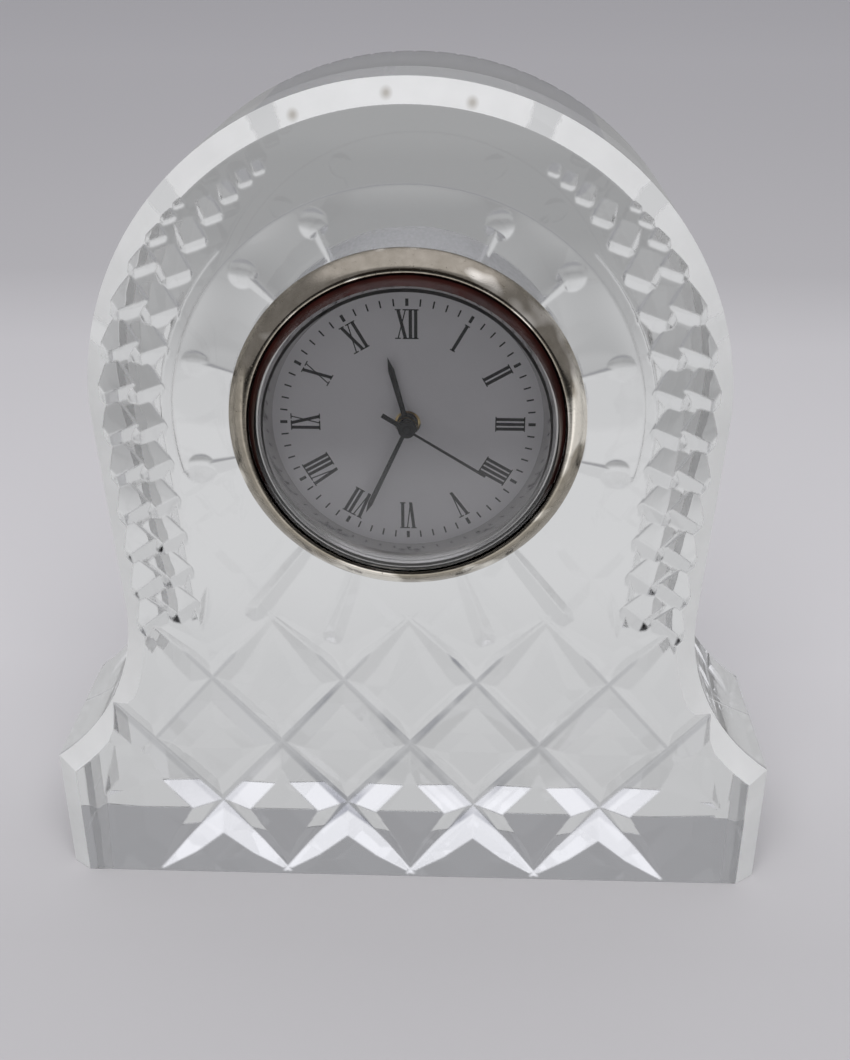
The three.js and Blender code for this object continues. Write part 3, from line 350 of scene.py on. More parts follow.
def rope_cuts():
    """Ropes of leaves come down both shoulders, fading in from small leaves at the top."""
    for column in ROPE_COLUMNS:
        radius, pitch = column["radius"] * MM, column["pitch"] * MM
        z = column["foot"] * MM
        lean = (radius - column["foot_x"] * MM) / (DIAL_HEIGHT - ROPE_FOOT)
        half_length = column["half_length"] * MM
        while z < DIAL_HEIGHT:
            x = radius - lean * (DIAL_HEIGHT - z)
            for side in (-1, 1):
                yield leaf_cut(side, side * x, z, 1, half_length)
            z += pitch
        angle = math.radians(90) - (z - DIAL_HEIGHT) / radius
        while math.degrees(angle) > column["start"]:
            share = min(1, (math.degrees(angle) - column["start"]) / (column["full"] - column["start"]))
            size = LEAF_SMALLEST + (1 - LEAF_SMALLEST) * share
            grown = radius + column["swell"] * MM * (1 - share)
            for side in (-1, 1):
                x, height = side * grown * math.sin(angle), DIAL_HEIGHT + grown * math.cos(angle)
                yield leaf_cut(side, x, height, size, half_length)
            angle -= size * pitch / radius


def rope_edge_cuts():
    """A fine groove runs down the rope's inner side: a steep wall inside, and a slope towards the leaves."""
    start, end = ROPE_EDGE["start"], ROPE_EDGE["end"]

    def section(degrees, side, foot=None):
        angle = math.radians(degrees)
        outwards = Vector((math.sin(angle), 0, math.cos(angle)))
        middle = Vector((0, 0, DIAL_HEIGHT)) + ROPE_EDGE["radius"] * outwards
        if foot:
            middle = Vector((foot[0], 0, foot[1]))
        size = min(1, max(LEAF_SMALLEST, (degrees - start) / ROPE_EDGE["fade"]))
        for reach, depth in ROPE_EDGE_SECTION:
            place = middle + reach * outwards
            yield Vector((side * place.x, FRONT + (size * depth if depth > 0 else depth), place.z))
    step = (end - start) / ROPE_EDGE_STEPS
    for side in (-1, 1):
        yield hull([*section(end, side), *section(end, side, ROPE_EDGE["foot"])])
        for i in range(ROPE_EDGE_STEPS):
            angle = start + i * step
            yield hull([*section(angle - ROPE_EDGE_LAP, side), *section(angle + step + ROPE_EDGE_LAP, side)])


BORE_STEPS = 160
HOLE_STEPS = 32


def peg(bm, radius, length, middle, steps=HOLE_STEPS):
    """A round peg that points from front to back."""
    bmesh.ops.create_cone(
        bm, cap_ends=True, segments=steps, radius1=radius, radius2=radius, depth=length,
        matrix=Matrix.Translation(middle) @ Matrix.Rotation(math.pi / 2, 4, "X"))


def bore_cut(radius=BORE_RADIUS, centre=(0, 0)):
    """A round hole through from front to back, about the dial's axis or another."""
    bm = bmesh.new()
    middle = (centre[0], (FRONT + BACK) / 2, DIAL_HEIGHT + centre[1])
    peg(bm, radius, 2 * (BACK - FRONT), middle, BORE_STEPS if radius > MM else HOLE_STEPS)
    return bm


NICK_PITCH = 1.7 * MM
NICK_HALF = 0.5 * MM
NICK_DEPTH = 0.4 * MM
NICK_SPAN = math.radians(32)
CARVED_ANGLE = 30


def nick_cuts():
    """Small V nicks across the back edge of the arch's crown."""
    step = NICK_PITCH / ARCH_RADIUS
    count = int(NICK_SPAN / step)
    reach = NICK_DEPTH + BACK_BEVEL[0] / math.sqrt(2)
    corner = Vector((0, BACK, ARCH_RADIUS))
    outwards = Vector((0, 1, 1)).normalized()
    over = Vector((0, -1, 1)).normalized()
    for i in range(-count, count + 1):
        place = Matrix.Translation((0, 0, ARCH_HEIGHT)) @ Matrix.Rotation(i * step, 4, "Y")
        points = []
        for end in (-2, 2):
            base = corner + end * reach * over
            points.append(base - reach * outwards)
            for flank in (-2, 2):
                points.append(base + reach * outwards + Vector((flank * NICK_HALF, 0, 0)))
        yield hull([place @ point for point in points])


def carve(piece, cuts, smooth=CARVED_ANGLE):
    """Cuts every tool out of a piece, one after another. Edges sharper than smooth stay crisp."""
    tools = bpy.data.collections.new("wheels")
    for i, bm in enumerate(cuts):
        tool = new_piece(f"wheel_{i}", bm, None)
        bpy.context.scene.collection.objects.unlink(tool)
        tools.objects.link(tool)
    cutter = piece.modifiers.new("cuts", "BOOLEAN")
    cutter.operation = "DIFFERENCE"
    cutter.operand_type = "COLLECTION"
    cutter.collection = tools
    cutter.solver = "MANIFOLD"
    shape = piece.evaluated_get(bpy.context.evaluated_depsgraph_get())
    mesh = bpy.data.meshes.new_from_object(shape)
    piece.modifiers.clear()
    piece.data = mesh
    for tool in list(tools.objects):
        bpy.data.objects.remove(tool)
    bpy.data.collections.remove(tools)
    soften(mesh, smooth)


class Signal:
    """A value in a material's graph. Arithmetic on it adds the Math nodes that work it out."""

    def __init__(self, paint, socket):
        self.paint = paint
        self.socket = socket

    def maths(self, operation, *values):
        return self.paint.node("Math", {"operation": operation}, dict(enumerate(values)))

    def __add__(self, other):
        return self.maths("ADD", self, other)

    def __sub__(self, other):
        return self.maths("SUBTRACT", self, other)

    def __rsub__(self, other):
        return self.maths("SUBTRACT", other, self)

    def __mul__(self, other):
        return self.maths("MULTIPLY", self, other)

    def __truediv__(self, other):
        return self.maths("DIVIDE", self, other)

    def __pow__(self, other):
        return self.maths("POWER", self, other)

    def above(self, limit):
        return self.maths("GREATER_THAN", self, limit)

    __radd__ = __add__
    __rmul__ = __mul__


class Graph:
    """A node graph, for what changes over a surface or round the room."""

    def __init__(self, tree, shader):
        self.tree = tree
        self.shader = shader

    def set(self, node, sockets):
        for name, value in sockets.items():
            socket = node.inputs[name]
            if isinstance(value, Signal):
                self.tree.links.new(value.socket, socket)
            elif hasattr(value, "__len__") and len(value) == 3 and len(socket.default_value) == 4:
                socket.default_value = (*value, 1)
            else:
                socket.default_value = value

    def node(self, kind, settings=None, sockets=None, output=0):
        """Adds a node, its settings first and then its sockets' values or links, and returns one output."""
        made = self.tree.nodes.new("ShaderNode" + kind)
        for name, value in (settings or {}).items():
            if name == "stops":
                ramp = made.color_ramp.elements
                while len(ramp) < len(value):
                    ramp.new(0.5)
                for stop, (place, shade) in zip(ramp, value):
                    stop.position = place
                    stop.color = (*shade, 1)
            else:
                setattr(made, name, value)
        self.set(made, sockets or {})
        return Signal(self, made.outputs[output])

    def mix(self, factor, one, other):
        """A colour that goes from one to the other as the factor goes from 0 to 1."""
        return self.node("Mix", {"data_type": "RGBA"}, {0: factor, 6: one, 7: other}, 2)

    def ramp(self, factor, *stops):
        return self.node("ValToRGB", {"stops": stops}, {0: factor})

    def fade(self, value, low, high):
        """Goes from 0 to 1 as a value goes from low to high."""
        return self.node("MapRange", {"clamp": True}, {0: value, 1: low, 2: high})

    def join(self, factor, one, other):
        """Lays one shader over another and sends the result to the output."""
        joined = self.node("MixShader", None, {0: factor, 1: one, 2: other})
        output = next(node for node in self.tree.nodes if node.type.startswith("OUTPUT"))
        self.tree.links.new(joined.socket, output.inputs[0])


class Paint(Graph):
    """A material: its Principled shader's own values, with what changes over the surface linked in."""

    def __init__(self, name, **values):
        self.material = bpy.data.materials.new(name)
        self.material.use_nodes = True
        tree = self.material.node_tree
        super().__init__(tree, tree.nodes["Principled BSDF"])
        self.wear(**values)

    def wear(self, **sockets):
        self.set(self.shader, {key.replace("_", " "): value for key, value in sockets.items()})

    def mottle(self, pattern, one, other, roughness, change):
        """The colour goes from one to the other with a pattern, and the roughness changes with it."""
        self.wear(Base_Color=self.mix(pattern, one, other), Roughness=roughness + pattern * change)

    def coat(self):
        """The shader itself, for a Mix Shader."""
        return Signal(self, self.shader.outputs[0])

    def place(self):
        """Where a point of the surface lies, in the object's own metres."""
        return self.node("TexCoord", output="Object")

    def coordinate(self, axis):
        """How far along X, Y or Z it lies."""
        return self.node("SeparateXYZ", None, {0: self.place()}, axis)

    def noise(self, size, detail=2, stretch=None):
        """Mottling whose grain is about as large as size, in metres."""
        where = self.place()
        if stretch:
            where = self.node("Mapping", None, {0: where, "Scale": stretch})
        return self.node("TexNoise", None, {0: where, "Scale": 1 / size, "Detail": detail})

    def round_axis(self, centre=(0, 0)):
        """How far a point lies from the dial's axis, or from another one, and the angle at which it lies."""
        x, z = self.coordinate("X") - centre[0], self.coordinate("Z") - (DIAL_HEIGHT + centre[1])
        return (x * x + z * z) ** 0.5, x.maths("ARCTAN2", x, z)

    def rounded(self, radius):
        """Polishing leaves every edge a little round: the surface turns smoothly across it."""
        self.wear(Normal=self.node("Bevel", {"samples": 4}, {"Radius": radius}))

    def dent(self, height, distance):
        self.wear(Normal=self.node("Bump", None, {"Height": height, "Distance": distance, "Strength": 1.0}))

    def onto(self, *pieces):
        for piece in pieces:
            piece.data.materials.clear()
            piece.data.materials.append(self.material)


LEAD_CRYSTAL = {"IOR": 1.55, "Transmission_Weight": 1.0}
CLEAR = (0.985, 0.99, 0.99)
EDGE_ROUNDING = 0.26 * MM
# Depths behind the face between which a dark reflection is painted in the groove bottoms.
PAINTED_REFLECTION_DEPTHS = (0.84 * MM, 0.95 * MM, 1.6 * MM)


def polished_crystal():
    """Clear lead glass with faint smears from handling. A dark reflection is painted along the bottoms of the
    deep grooves.
    """
    paint = Paint("polished_crystal", Roughness=0.0, **LEAD_CRYSTAL)
    smear = paint.fade(paint.noise(6 * MM), 0.35, 0.7)
    x, y, z = (paint.coordinate(axis) for axis in "XYZ")
    deep = paint.fade(y, FRONT + PAINTED_REFLECTION_DEPTHS[0], FRONT + PAINTED_REFLECTION_DEPTHS[1]) * (1 - y.above(FRONT + PAINTED_REFLECTION_DEPTHS[2]))
    middle = paint.fade(x.maths("ABSOLUTE", x), 13 * MM, 5 * MM)
    patchy = paint.fade(paint.noise(5 * MM), 0.4, 0.62)
    # The painted dark reflection along the groove bottoms, heaviest near the middle.
    overlay_mask = deep * (1 - z.above(DIAMOND_TOP)) * (0.35 + middle * patchy * 0.6)
    glass = paint.mix(smear, CLEAR, (0.97, 0.98, 0.98))
    paint.wear(Base_Color=paint.mix(overlay_mask, glass, (0.16, 0.17, 0.21)))
    paint.rounded(EDGE_ROUNDING)
    return paint


CLEAR_STRETCHES = [-72.5, -45, -23, 24, 46.5, 72.5]
STAINS = [(-19, 24 * MM), (-3.2, 24.2 * MM), (11, 24 * MM)]


def satin_bevel():
    """The front bevel is ground to a satin white. Across each ray's line it is polished clear, and grime has
    settled on it in three small spots."""
    paint = Paint("satin_bevel", Roughness=0.0, Base_Color=CLEAR, **LEAD_CRYSTAL)
    satin = paint.mix(paint.noise(2.5 * MM, 3), (0.84, 0.84, 0.84), (0.72, 0.725, 0.72))
    grime = 0
    for turn, reach in STAINS:
        turn = math.radians(turn)
        spot = (reach * math.sin(turn), 0, DIAL_HEIGHT + reach * math.cos(turn))
        flat = paint.node("VectorMath", {"operation": "MULTIPLY"}, {0: paint.place(), 1: (1, 0, 1)})
        away = paint.node("VectorMath", {"operation": "DISTANCE"}, {0: flat, 1: spot}, "Value")
        grime = paint.fade(away, 0.52 * MM, 0.1 * MM) * 0.6 + grime
    ground = paint.node("BsdfPrincipled", None, {
        "Base Color": paint.mix(grime, satin, (0.22, 0.18, 0.12)), "Roughness": 0.45,
        "IOR": LEAD_CRYSTAL["IOR"], "Transmission Weight": 0.35})
    bearing = paint.round_axis()[1] + paint.noise(1.2 * MM, 2) * 0.03
    clear = 0
    for turn in CLEAR_STRETCHES:
        off = bearing.maths("ABSOLUTE", bearing - math.radians(turn))
        clear = paint.fade(off, 0.046, 0.034) + clear
    paint.join(clear, ground, paint.coat())
    return paint


def ground_glass():
    """The bore and the back edge are left as the stone ground them: grey, frosted and faintly scored."""
    paint = Paint("ground_glass", **LEAD_CRYSTAL)
    paint.mottle(paint.noise(0.25 * MM, 3, (1, 0.2, 1)), (0.88, 0.88, 0.87), (0.82, 0.82, 0.81), 0.4, 0.2)
    return paint


FACET_ANGLE = 11
ON_THE_BORE = 0.01 * MM

crystal = new_piece("crystal_block", block_blank(), "crystal")
for finish in (polished_crystal(), satin_bevel(), ground_glass()):
    crystal.data.materials.append(finish.material)
carve(crystal, [
    bore_cut(), *lattice_cuts(), *panel_cuts(), *ray_cuts(), *olive_cuts(), *rope_cuts(), *rope_edge_cuts(),
    *nick_cuts(),
], FACET_ANGLE)
for face in crystal.data.polygons:
    if abs(math.hypot(face.center.x, face.center.z - DIAL_HEIGHT) - BORE_RADIUS) < ON_THE_BORE:
        face.material_index = GROUND_EDGE
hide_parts("crystal_body")

# Dial
# A thin aluminium disc, painted pale grey and printed in black: a minute track, and Roman numerals that
# stand with their feet to the centre. It rests on the front edge of the movement's case.
DIAL_FRONT = 0.6
DIAL = [(1, DIAL_FRONT), (11.65, DIAL_FRONT), (11.65, 1), (1, 1)]
TURNED_STEPS = 192
SMALL_STEPS = 96
TINY_STEPS = 48
ROUNDED_FROM = 0.5
SLIVER = 1e-8


def round_off(bm, edges, radius):
    """Rounds edges off with two narrow faces each."""
    bmesh.ops.bevel(
        bm, geom=edges, offset=radius, offset_type="OFFSET", affect="EDGES", segments=2, profile=0.5,
        material=-1)


def turned(name, profile, body, node, steps=TURNED_STEPS, centre=(0, 0), round_edges=0.0, smooth=35):
    """A turned part: its profile, in mm (radius, depth behind the crystal's face), spun about an axis."""
    x, z = centre
    bm = bmesh.new()
    verts = [bm.verts.new((x + reach * MM, FRONT + depth * MM, DIAL_HEIGHT + z)) for reach, depth in profile]
    for one, other in zip(verts, verts[1:]):
        bm.edges.new((one, other))
    if profile[0][0] > 0:
        bm.edges.new((verts[-1], verts[0]))
    bmesh.ops.spin(
        bm, geom=bm.verts[:] + bm.edges[:], cent=(x, 0, DIAL_HEIGHT + z), axis=(0, 1, 0), angle=2 * math.pi,
        steps=steps, use_merge=True)
    bmesh.ops.remove_doubles(bm, verts=bm.verts, dist=WELD)
    bmesh.ops.dissolve_degenerate(bm, edges=bm.edges, dist=SLIVER)
    if round_edges:
        bmesh.ops.recalc_face_normals(bm, faces=bm.faces)
        sharp = [e for e in bm.edges if len(e.link_faces) == 2 and e.calc_face_angle() > ROUNDED_FROM]
        round_off(bm, sharp, round_edges)
    piece = new_piece(name, bm, body, smooth)
    if node:
        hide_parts(node)
    return piece


def dial_paint():
    """Satin paint with the faintest grain."""
    paint = Paint("dial_paint", Specular_IOR_Level=0.3)
    grain = paint.noise(0.12 * MM, 3)
    paint.mottle(grain, (0.74, 0.725, 0.755), (0.705, 0.69, 0.72), 0.42, 0.1)
    paint.dent(grain, 0.004 * MM)
    return paint


def black_ink():
    paint = Paint("black_ink", Roughness=0.5, Specular_IOR_Level=0.1)
    paint.wear(Base_Color=paint.mix(paint.noise(0.1 * MM), (0.012, 0.012, 0.014), (0.03, 0.03, 0.034)))
    return paint


dial = turned("dial_disc", DIAL, "insert", "dial")
dial_paint().onto(dial)

TRACK_RADIUS = 9.53 * MM
TICK = (0.56 * MM, 0.12 * MM)
HOUR_TICK = (0.56 * MM, 0.24 * MM)
NUMERAL_FOOT = 6.72 * MM
NUMERAL_HEIGHT = 2.28 * MM
THICK = 0.25 * MM
THIN = 0.09 * MM
LIMB_GAP = 0.04 * MM
SERIF_REACH = THICK / 2 + 0.09 * MM
INK = 0.012 * MM
LETTER_WIDTH = {"I": 0.39 * MM, "V": 0.86 * MM, "X": 0.9 * MM}
NUMERALS = ["XII", "I", "II", "III", "IIII", "V", "VI", "VII", "VIII", "IX", "X", "XI"]


def bar(bm, clock_angle, foot, head, width):
    """A printed stroke from its foot to its head, both (across, out from the centre), turned to its hour."""
    half = width / 2
    (x0, z0), (x1, z1) = foot, head
    corners = [(x0 - half, z0), (x0 + half, z0), (x1 + half, z1), (x1 - half, z1)]
    turn = Matrix.Translation((0, 0, DIAL_HEIGHT)) @ Matrix.Rotation(clock_angle, 4, "Y")
    verts = [bm.verts.new(turn @ Vector((across, FRONT + DIAL_FRONT * MM, out))) for across, out in corners]
    draw_out(bm, [bm.faces.new(verts)], (0, -INK, 0))


def print_numeral(bm, clock_angle, letters):
    """Thick and thin limbs, with a thin serif across each end but the pointed foot of a V."""
    foot, head = NUMERAL_FOOT, NUMERAL_FOOT + NUMERAL_HEIGHT
    across = -sum(LETTER_WIDTH[letter] for letter in letters) / 2
    for letter in letters:
        width = LETTER_WIDTH[letter]
        middle = across + width / 2
        left, right = across + THICK / 2 + LIMB_GAP, across + width - THICK / 2 - LIMB_GAP
        limbs = {
            "I": [(middle, middle, THICK)],
            "V": [(middle, left, THICK), (middle, right, THIN)],
            "X": [(right, left, THICK), (left, right, THIN)],
        }
        for low, high, thickness in limbs[letter]:
            bar(bm, clock_angle, (low, foot), (high, head), thickness)
            bar(bm, clock_angle, (high, head), (high, head - THIN), 2 * SERIF_REACH)
            if letter != "V":
                bar(bm, clock_angle, (low, foot), (low, foot + THIN), 2 * SERIF_REACH)
        across += width


print_bm = bmesh.new()
for minute in range(60):
    length, width = TICK if minute % 5 else HOUR_TICK
    angle = minute * math.radians(6)
    bar(print_bm, angle, (0, TRACK_RADIUS - length / 2), (0, TRACK_RADIUS + length / 2), width)
for hour, letters in enumerate(NUMERALS):
    print_numeral(print_bm, hour * math.radians(30), letters)
dial_print = new_piece("dial_print", print_bm, "insert")
black_ink().onto(dial_print)

# Hands
# Stamped strips of black lacquered brass. Each is pressed on its own tube or arbor by a round boss: hours
# at the bottom, minutes above them, and the thin second hand with its square counterweight on top.
HAND_THICKNESS = 0.15 * MM
HAND_ROUNDING = 0.03 * MM
HAND_ANGLE = 40
BOSS_STEPS = 40
HOUR_HAND = {"length": 5.6, "width": 0.46, "boss": 0.82, "bore": 0.75, "depth": 0, "angle": -15}
MINUTE_HAND = {"length": 7.9, "width": 0.38, "boss": 0.72, "bore": 0.56, "depth": -0.45, "angle": 204.5}
SECOND_HAND = {"length": 7.1, "width": 0.2, "boss": 0.66, "bore": 0.18, "depth": -0.9, "angle": 122}
SECOND_TAIL = (2.2 * MM, 0.34 * MM / 2)
BLADE_ROOT = 0.8
BLADE_TIP = 2.2


def hand(name, sizes, body, node, tail=None):
    """Draws a hand's outline round its boss, gives it its thickness and softens its edges. A hand with a
    tail, given as its length and half width, has no pointed tip."""
    size = {key: value * MM for key, value in sizes.items()}
    y = FRONT + size["depth"]
    half, boss, length = size["width"] / 2, size["boss"], size["length"]
    tip = 0 if tail else BLADE_TIP * size["width"]
    root = BLADE_ROOT * half
    blade_turn = math.asin(root / boss)
    bm = bmesh.new()
    start = bm.verts.new((-root, y, boss * math.cos(blade_turn)))
    vert = line_to(bm, start, (-half, y, length - tip))
    if tip:
        vert = line_to(bm, vert, (0, y, length))
    vert = line_to(bm, vert, (half, y, length - tip))
    vert = line_to(bm, vert, (root, y, boss * math.cos(blade_turn)))
    if tail:
        tail_length, tail_half = tail
        tail_turn = math.asin(tail_half / boss)
        flank = math.pi - blade_turn - tail_turn
        vert = swing(bm, vert, (0, y, 0), flank, BOSS_STEPS // 2)
        vert = line_to(bm, vert, (tail_half, y, -tail_length))
        vert = line_to(bm, vert, (-tail_half, y, -tail_length))
        vert = line_to(bm, vert, (-tail_half, y, -boss * math.cos(tail_turn)))
        vert = swing(bm, vert, (0, y, 0), flank, BOSS_STEPS // 2)
    else:
        vert = swing(bm, vert, (0, y, 0), 2 * (math.pi - blade_turn), BOSS_STEPS)
    bm.edges.new((vert, start))
    bmesh.ops.remove_doubles(bm, verts=bm.verts, dist=WELD)
    face = bmesh.ops.contextual_create(bm, geom=bm.edges)["faces"][0]
    draw_out(bm, [face], (0, HAND_THICKNESS, 0))
    bmesh.ops.recalc_face_normals(bm, faces=bm.faces)
    round_off(bm, [e for e in bm.edges if all(abs(v.co.y - y) < WELD for v in e.verts)], HAND_ROUNDING)
    place = Matrix.Translation((0, 0, DIAL_HEIGHT)) @ Matrix.Rotation(math.radians(sizes["angle"]), 4, "Y")
    bmesh.ops.transform(bm, matrix=place, verts=bm.verts)
    piece = new_piece(name, bm, body)
    carve(piece, [bore_cut(size["bore"])], HAND_ANGLE)
    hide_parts(node)
    return piece


def black_lacquer():
    paint = Paint("black_lacquer", Specular_IOR_Level=0.2)
    paint.mottle(paint.noise(0.2 * MM, 3), (0.010, 0.010, 0.012), (0.022, 0.022, 0.025), 0.3, 0.2)
    return paint


SECOND_CAP = [(0, -1.08), (0.22, -1.08), (0.32, -1.0), (0.32, -0.9), (0, -0.9)]
HOUR_COLLAR = [(0.76, 0.15), (0.82, 0.15), (0.82, 0.58), (0.76, 0.58)]
second_cap = turned("second_hand_cap", SECOND_CAP, "second_arbor", None, TINY_STEPS)
hour_collar = turned("hour_hand_collar", HOUR_COLLAR, "hour_arbor", None, TINY_STEPS)
black_lacquer().onto(
    hand("hour_hand_blade", HOUR_HAND, "hour_arbor", "hour_hand"),
    hand("minute_hand_blade", MINUTE_HAND, "minute_arbor", "minute_hand"),
    hand("second_hand_blade", SECOND_HAND, "second_arbor", "second_hand", SECOND_TAIL),
    second_cap,
    hour_collar,
)

# Reflector ring
# A bright turned cone between the dial and the lens. It mirrors the ends of the minute marks.
REFLECTOR = [(11.3, -0.9), (11.65, -0.9), (11.65, 0.6), (10.4, 0.6)]


def bright_metal(name, colour, roughness, grain=0.05 * MM, centre=(0, 0)):
    """Turned or rolled bright metal: fine circular tool marks, and a little unevenness in the polish."""
    paint = Paint(name, Metallic=1.0)
    radius, angle = paint.round_axis(centre)
    rings = paint.node("CombineXYZ", None, {0: radius / grain, 1: angle * 1.5})
    lines = paint.node("TexNoise", None, {0: rings, "Scale": 1.0, "Detail": 3.0})
    paint.mottle(lines, colour, tuple(0.86 * part for part in colour), roughness, roughness)
    paint.dent(lines, 0.002 * MM)
    return paint


reflector = turned("reflector_cone", REFLECTOR, "insert", "reflector_ring", round_edges=0.03 * MM)
bright_metal("bright_ring", (0.72, 0.71, 0.70), 0.12).onto(reflector)

# Lens
# Clear moulded lens, flat on top. A dark red-brown reflection is painted on its steep rim, and its flange
# sits in the bezel's seat, under the crimped lip.
LENS = [
    (0, -2.35), (11.45, -2.35), (12.0, -1.2), (12.45, -1.15), (12.45, -0.95), (11.05, -0.95), (10.85, -1.35),
    (0, -1.35),
]
LENS_IOR = 1.49
LENS_RIM = 11.5 * MM
RIM_REFLECTION_FADE = (8 * MM, 4 * MM)
LENS_STEP = (10.85 * MM, 11.05 * MM)
PAINTED_REFLECTION_RIM = 1
FROSTED = 2


def clear_lens():
    """Clear, with a trace of handling on its face."""
    paint = Paint("clear_lens", IOR=LENS_IOR, Transmission_Weight=1.0, Roughness=0.0)
    smear = paint.fade(paint.noise(3 * MM, 4), 0.45, 0.75)
    paint.wear(Base_Color=paint.mix(smear, (0.99, 0.99, 0.99), (0.965, 0.97, 0.97)))
    return paint


def rim_painted_reflection():
    """A painted dark red-brown reflection on the rim, a little uneven. It fades out towards the bottom, where
    the rim is clear.
    """
    paint = Paint("rim_painted_reflection", Specular_IOR_Level=0.4)
    paint.mottle(paint.noise(1.5 * MM, 2), (0.040, 0.010, 0.008), (0.008, 0.004, 0.004), 0.12, 0.1)
    dark_reflection = paint.fade(paint.coordinate("Z"), DIAL_HEIGHT - RIM_REFLECTION_FADE[0], DIAL_HEIGHT - RIM_REFLECTION_FADE[1])
    clear_rim = paint.node("BsdfPrincipled", None, {
        "Base Color": (0.99, 0.99, 0.99), "Roughness": 0.05, "IOR": LENS_IOR, "Transmission Weight": 1.0})
    paint.join(dark_reflection, clear_rim, paint.coat())
    return paint


def frosted_step():
    """The mould leaves the small step under the lens frosted."""
    paint = Paint("frosted_step", IOR=LENS_IOR, Transmission_Weight=0.6)
    paint.mottle(paint.noise(0.1 * MM, 2), (0.42, 0.42, 0.41), (0.34, 0.34, 0.33), 0.4, 0.2)
    return paint


lens = turned("lens_glass", LENS, "insert", "lens", smooth=20)
clear_lens().onto(lens)
lens.data.materials.append(rim_painted_reflection().material)
lens.data.materials.append(frosted_step().material)
# The steep rim takes the painted dark reflection; the small step under the lens is frosted.
for face in lens.data.polygons:
    reach = math.hypot(face.center.x, face.center.z - DIAL_HEIGHT)
    if reach > LENS_RIM and abs(face.normal.y) < FACING:
        face.material_index = PAINTED_REFLECTION_RIM
    elif LENS_STEP[0] < reach < LENS_STEP[1]:
        face.material_index = FROSTED

# Bezel
# Pressed brass, plated pale gold and polished. Its skirt goes into the bore, its slope stands on the
# crystal, and its lip is crimped over the lens. Years of handling have left fine marks.
BEZEL = [
    (13.7, 0), (13.7, -0.25), (12.75, -1.3), (12.45, -1.46), (12.14, -1.44), (12.1, -1.28), (12.6, -1.24),
    (12.6, -0.95), (11.8, -0.95), (11.8, 2), (12.3, 2), (12.3, 0),
]


def pale_gold():
    """Polished pale gold plate with painted highlights in stretches round it, hair scratches and dull pin
    marks.
    """
    paint = Paint("pale_gold")
    radius, angle = paint.round_axis()
    worn = paint.noise(0.9 * MM, 4)
    pits = paint.fade(paint.noise(0.16 * MM, 2), 0.66, 0.74)
    hairs = paint.noise(0.09 * MM, 2, (1, 1, 0.12)) + paint.noise(0.11 * MM, 2, (0.14, 1, 1))
    around = paint.node("CombineXYZ", None, {0: angle * 2.2, 1: radius / (3 * MM)})
    painted_highlight = paint.fade(paint.node("TexNoise", None, {0: around, "Scale": 1.0, "Detail": 2.0}), 0.54, 0.60)
    plate = paint.mix(worn, (0.50, 0.455, 0.385), (0.28, 0.25, 0.20))
    # Painted highlights: near-white stretches round the ring.
    plate = paint.mix(painted_highlight * 0.9, plate, (0.98, 0.93, 0.84))
    paint.wear(
        Base_Color=paint.mix(pits * 0.8, plate, (0.12, 0.10, 0.07)),
        Metallic=1 - pits * 0.3,
        Roughness=0.10 + worn * 0.12 + pits * 0.3)
    paint.dent(hairs, 0.003 * MM)
    return paint


bezel = turned("bezel_ring", BEZEL, "insert", "bezel", round_edges=0.06 * MM)
pale_gold().onto(bezel)

# Movement case
# A drawn steel ring, nickel plated. The dial stands on its front edge, and the back cover snaps into it.
CASE = [(11.15, 1.0), (11.65, 1.0), (11.65, 8.2), (11.15, 8.2)]
NICKEL = (0.61, 0.60, 0.58)

case = turned("case_ring", CASE, "insert", "movement_case", round_edges=0.08 * MM)
bright_metal("nickel_case", NICKEL, 0.2).onto(case)

# Rubber grip
# A moulded rubber band with three saw-tooth ribs, stretched over the case. It holds the clock in the bore.
GRIP_START = 2.3
GRIP_PITCH = 1.4
GRIP_RIBS = 3
GRIP_INNER = 11.8
GRIP_ROOT = 11.95
GRIP_OUTER = 12.3
RIB_CREST = (0.45 * GRIP_PITCH, 0.6 * GRIP_PITCH)


def grip_rubber():
    """Matt black rubber, greyed by dust along its ribs."""
    paint = Paint("grip_rubber", Specular_IOR_Level=0.3)
    overlay_mask = paint.fade(paint.noise(0.8 * MM, 5), 0.4, 0.75)
    grain = paint.noise(0.07 * MM, 2)
    paint.wear(
        Base_Color=paint.mix(overlay_mask, (0.018, 0.018, 0.018), (0.07, 0.068, 0.065)),
        Roughness=0.62 + grain * 0.25)
    paint.dent(grain, 0.01 * MM)
    return paint


grip_profile = [(GRIP_INNER, GRIP_START)]
for rib in range(GRIP_RIBS):
    start = GRIP_START + rib * GRIP_PITCH
    grip_profile += [(GRIP_ROOT, start), *((GRIP_OUTER, start + crest) for crest in RIB_CREST)]
grip_end = GRIP_START + GRIP_RIBS * GRIP_PITCH
grip_profile += [(GRIP_ROOT, grip_end), (GRIP_INNER, grip_end)]
grip = turned("grip_band", grip_profile, "insert", "grip_ring", round_edges=0.05 * MM)
grip_rubber().onto(grip)

# Back cover
# A pressed steel disc, nickel plated, with a lip that snaps into the case. It has a round opening for the
# battery hatch, a hole for the setting arbor and a fine ring turned near its edge.
COVER = [
    (0, 8.2), (10.4, 8.2), (10.4, 7.7), (11.0, 7.7), (11.0, 8.2), (11.65, 8.2), (11.65, 9.0), (10.9, 9.0),
    (10.85, 8.93), (10.75, 8.93), (10.7, 9.0), (0, 9.0),
]
HATCH_OPENING = 3.7 * MM
ARBOR_HOLE = 0.55 * MM


def middle_of(node):
    """Where a CAD node's middle lies from the dial's axis, seen from the front."""
    low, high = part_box(node)
    return (low.x + high.x) / 2, (low.z + high.z) / 2 - DIAL_HEIGHT


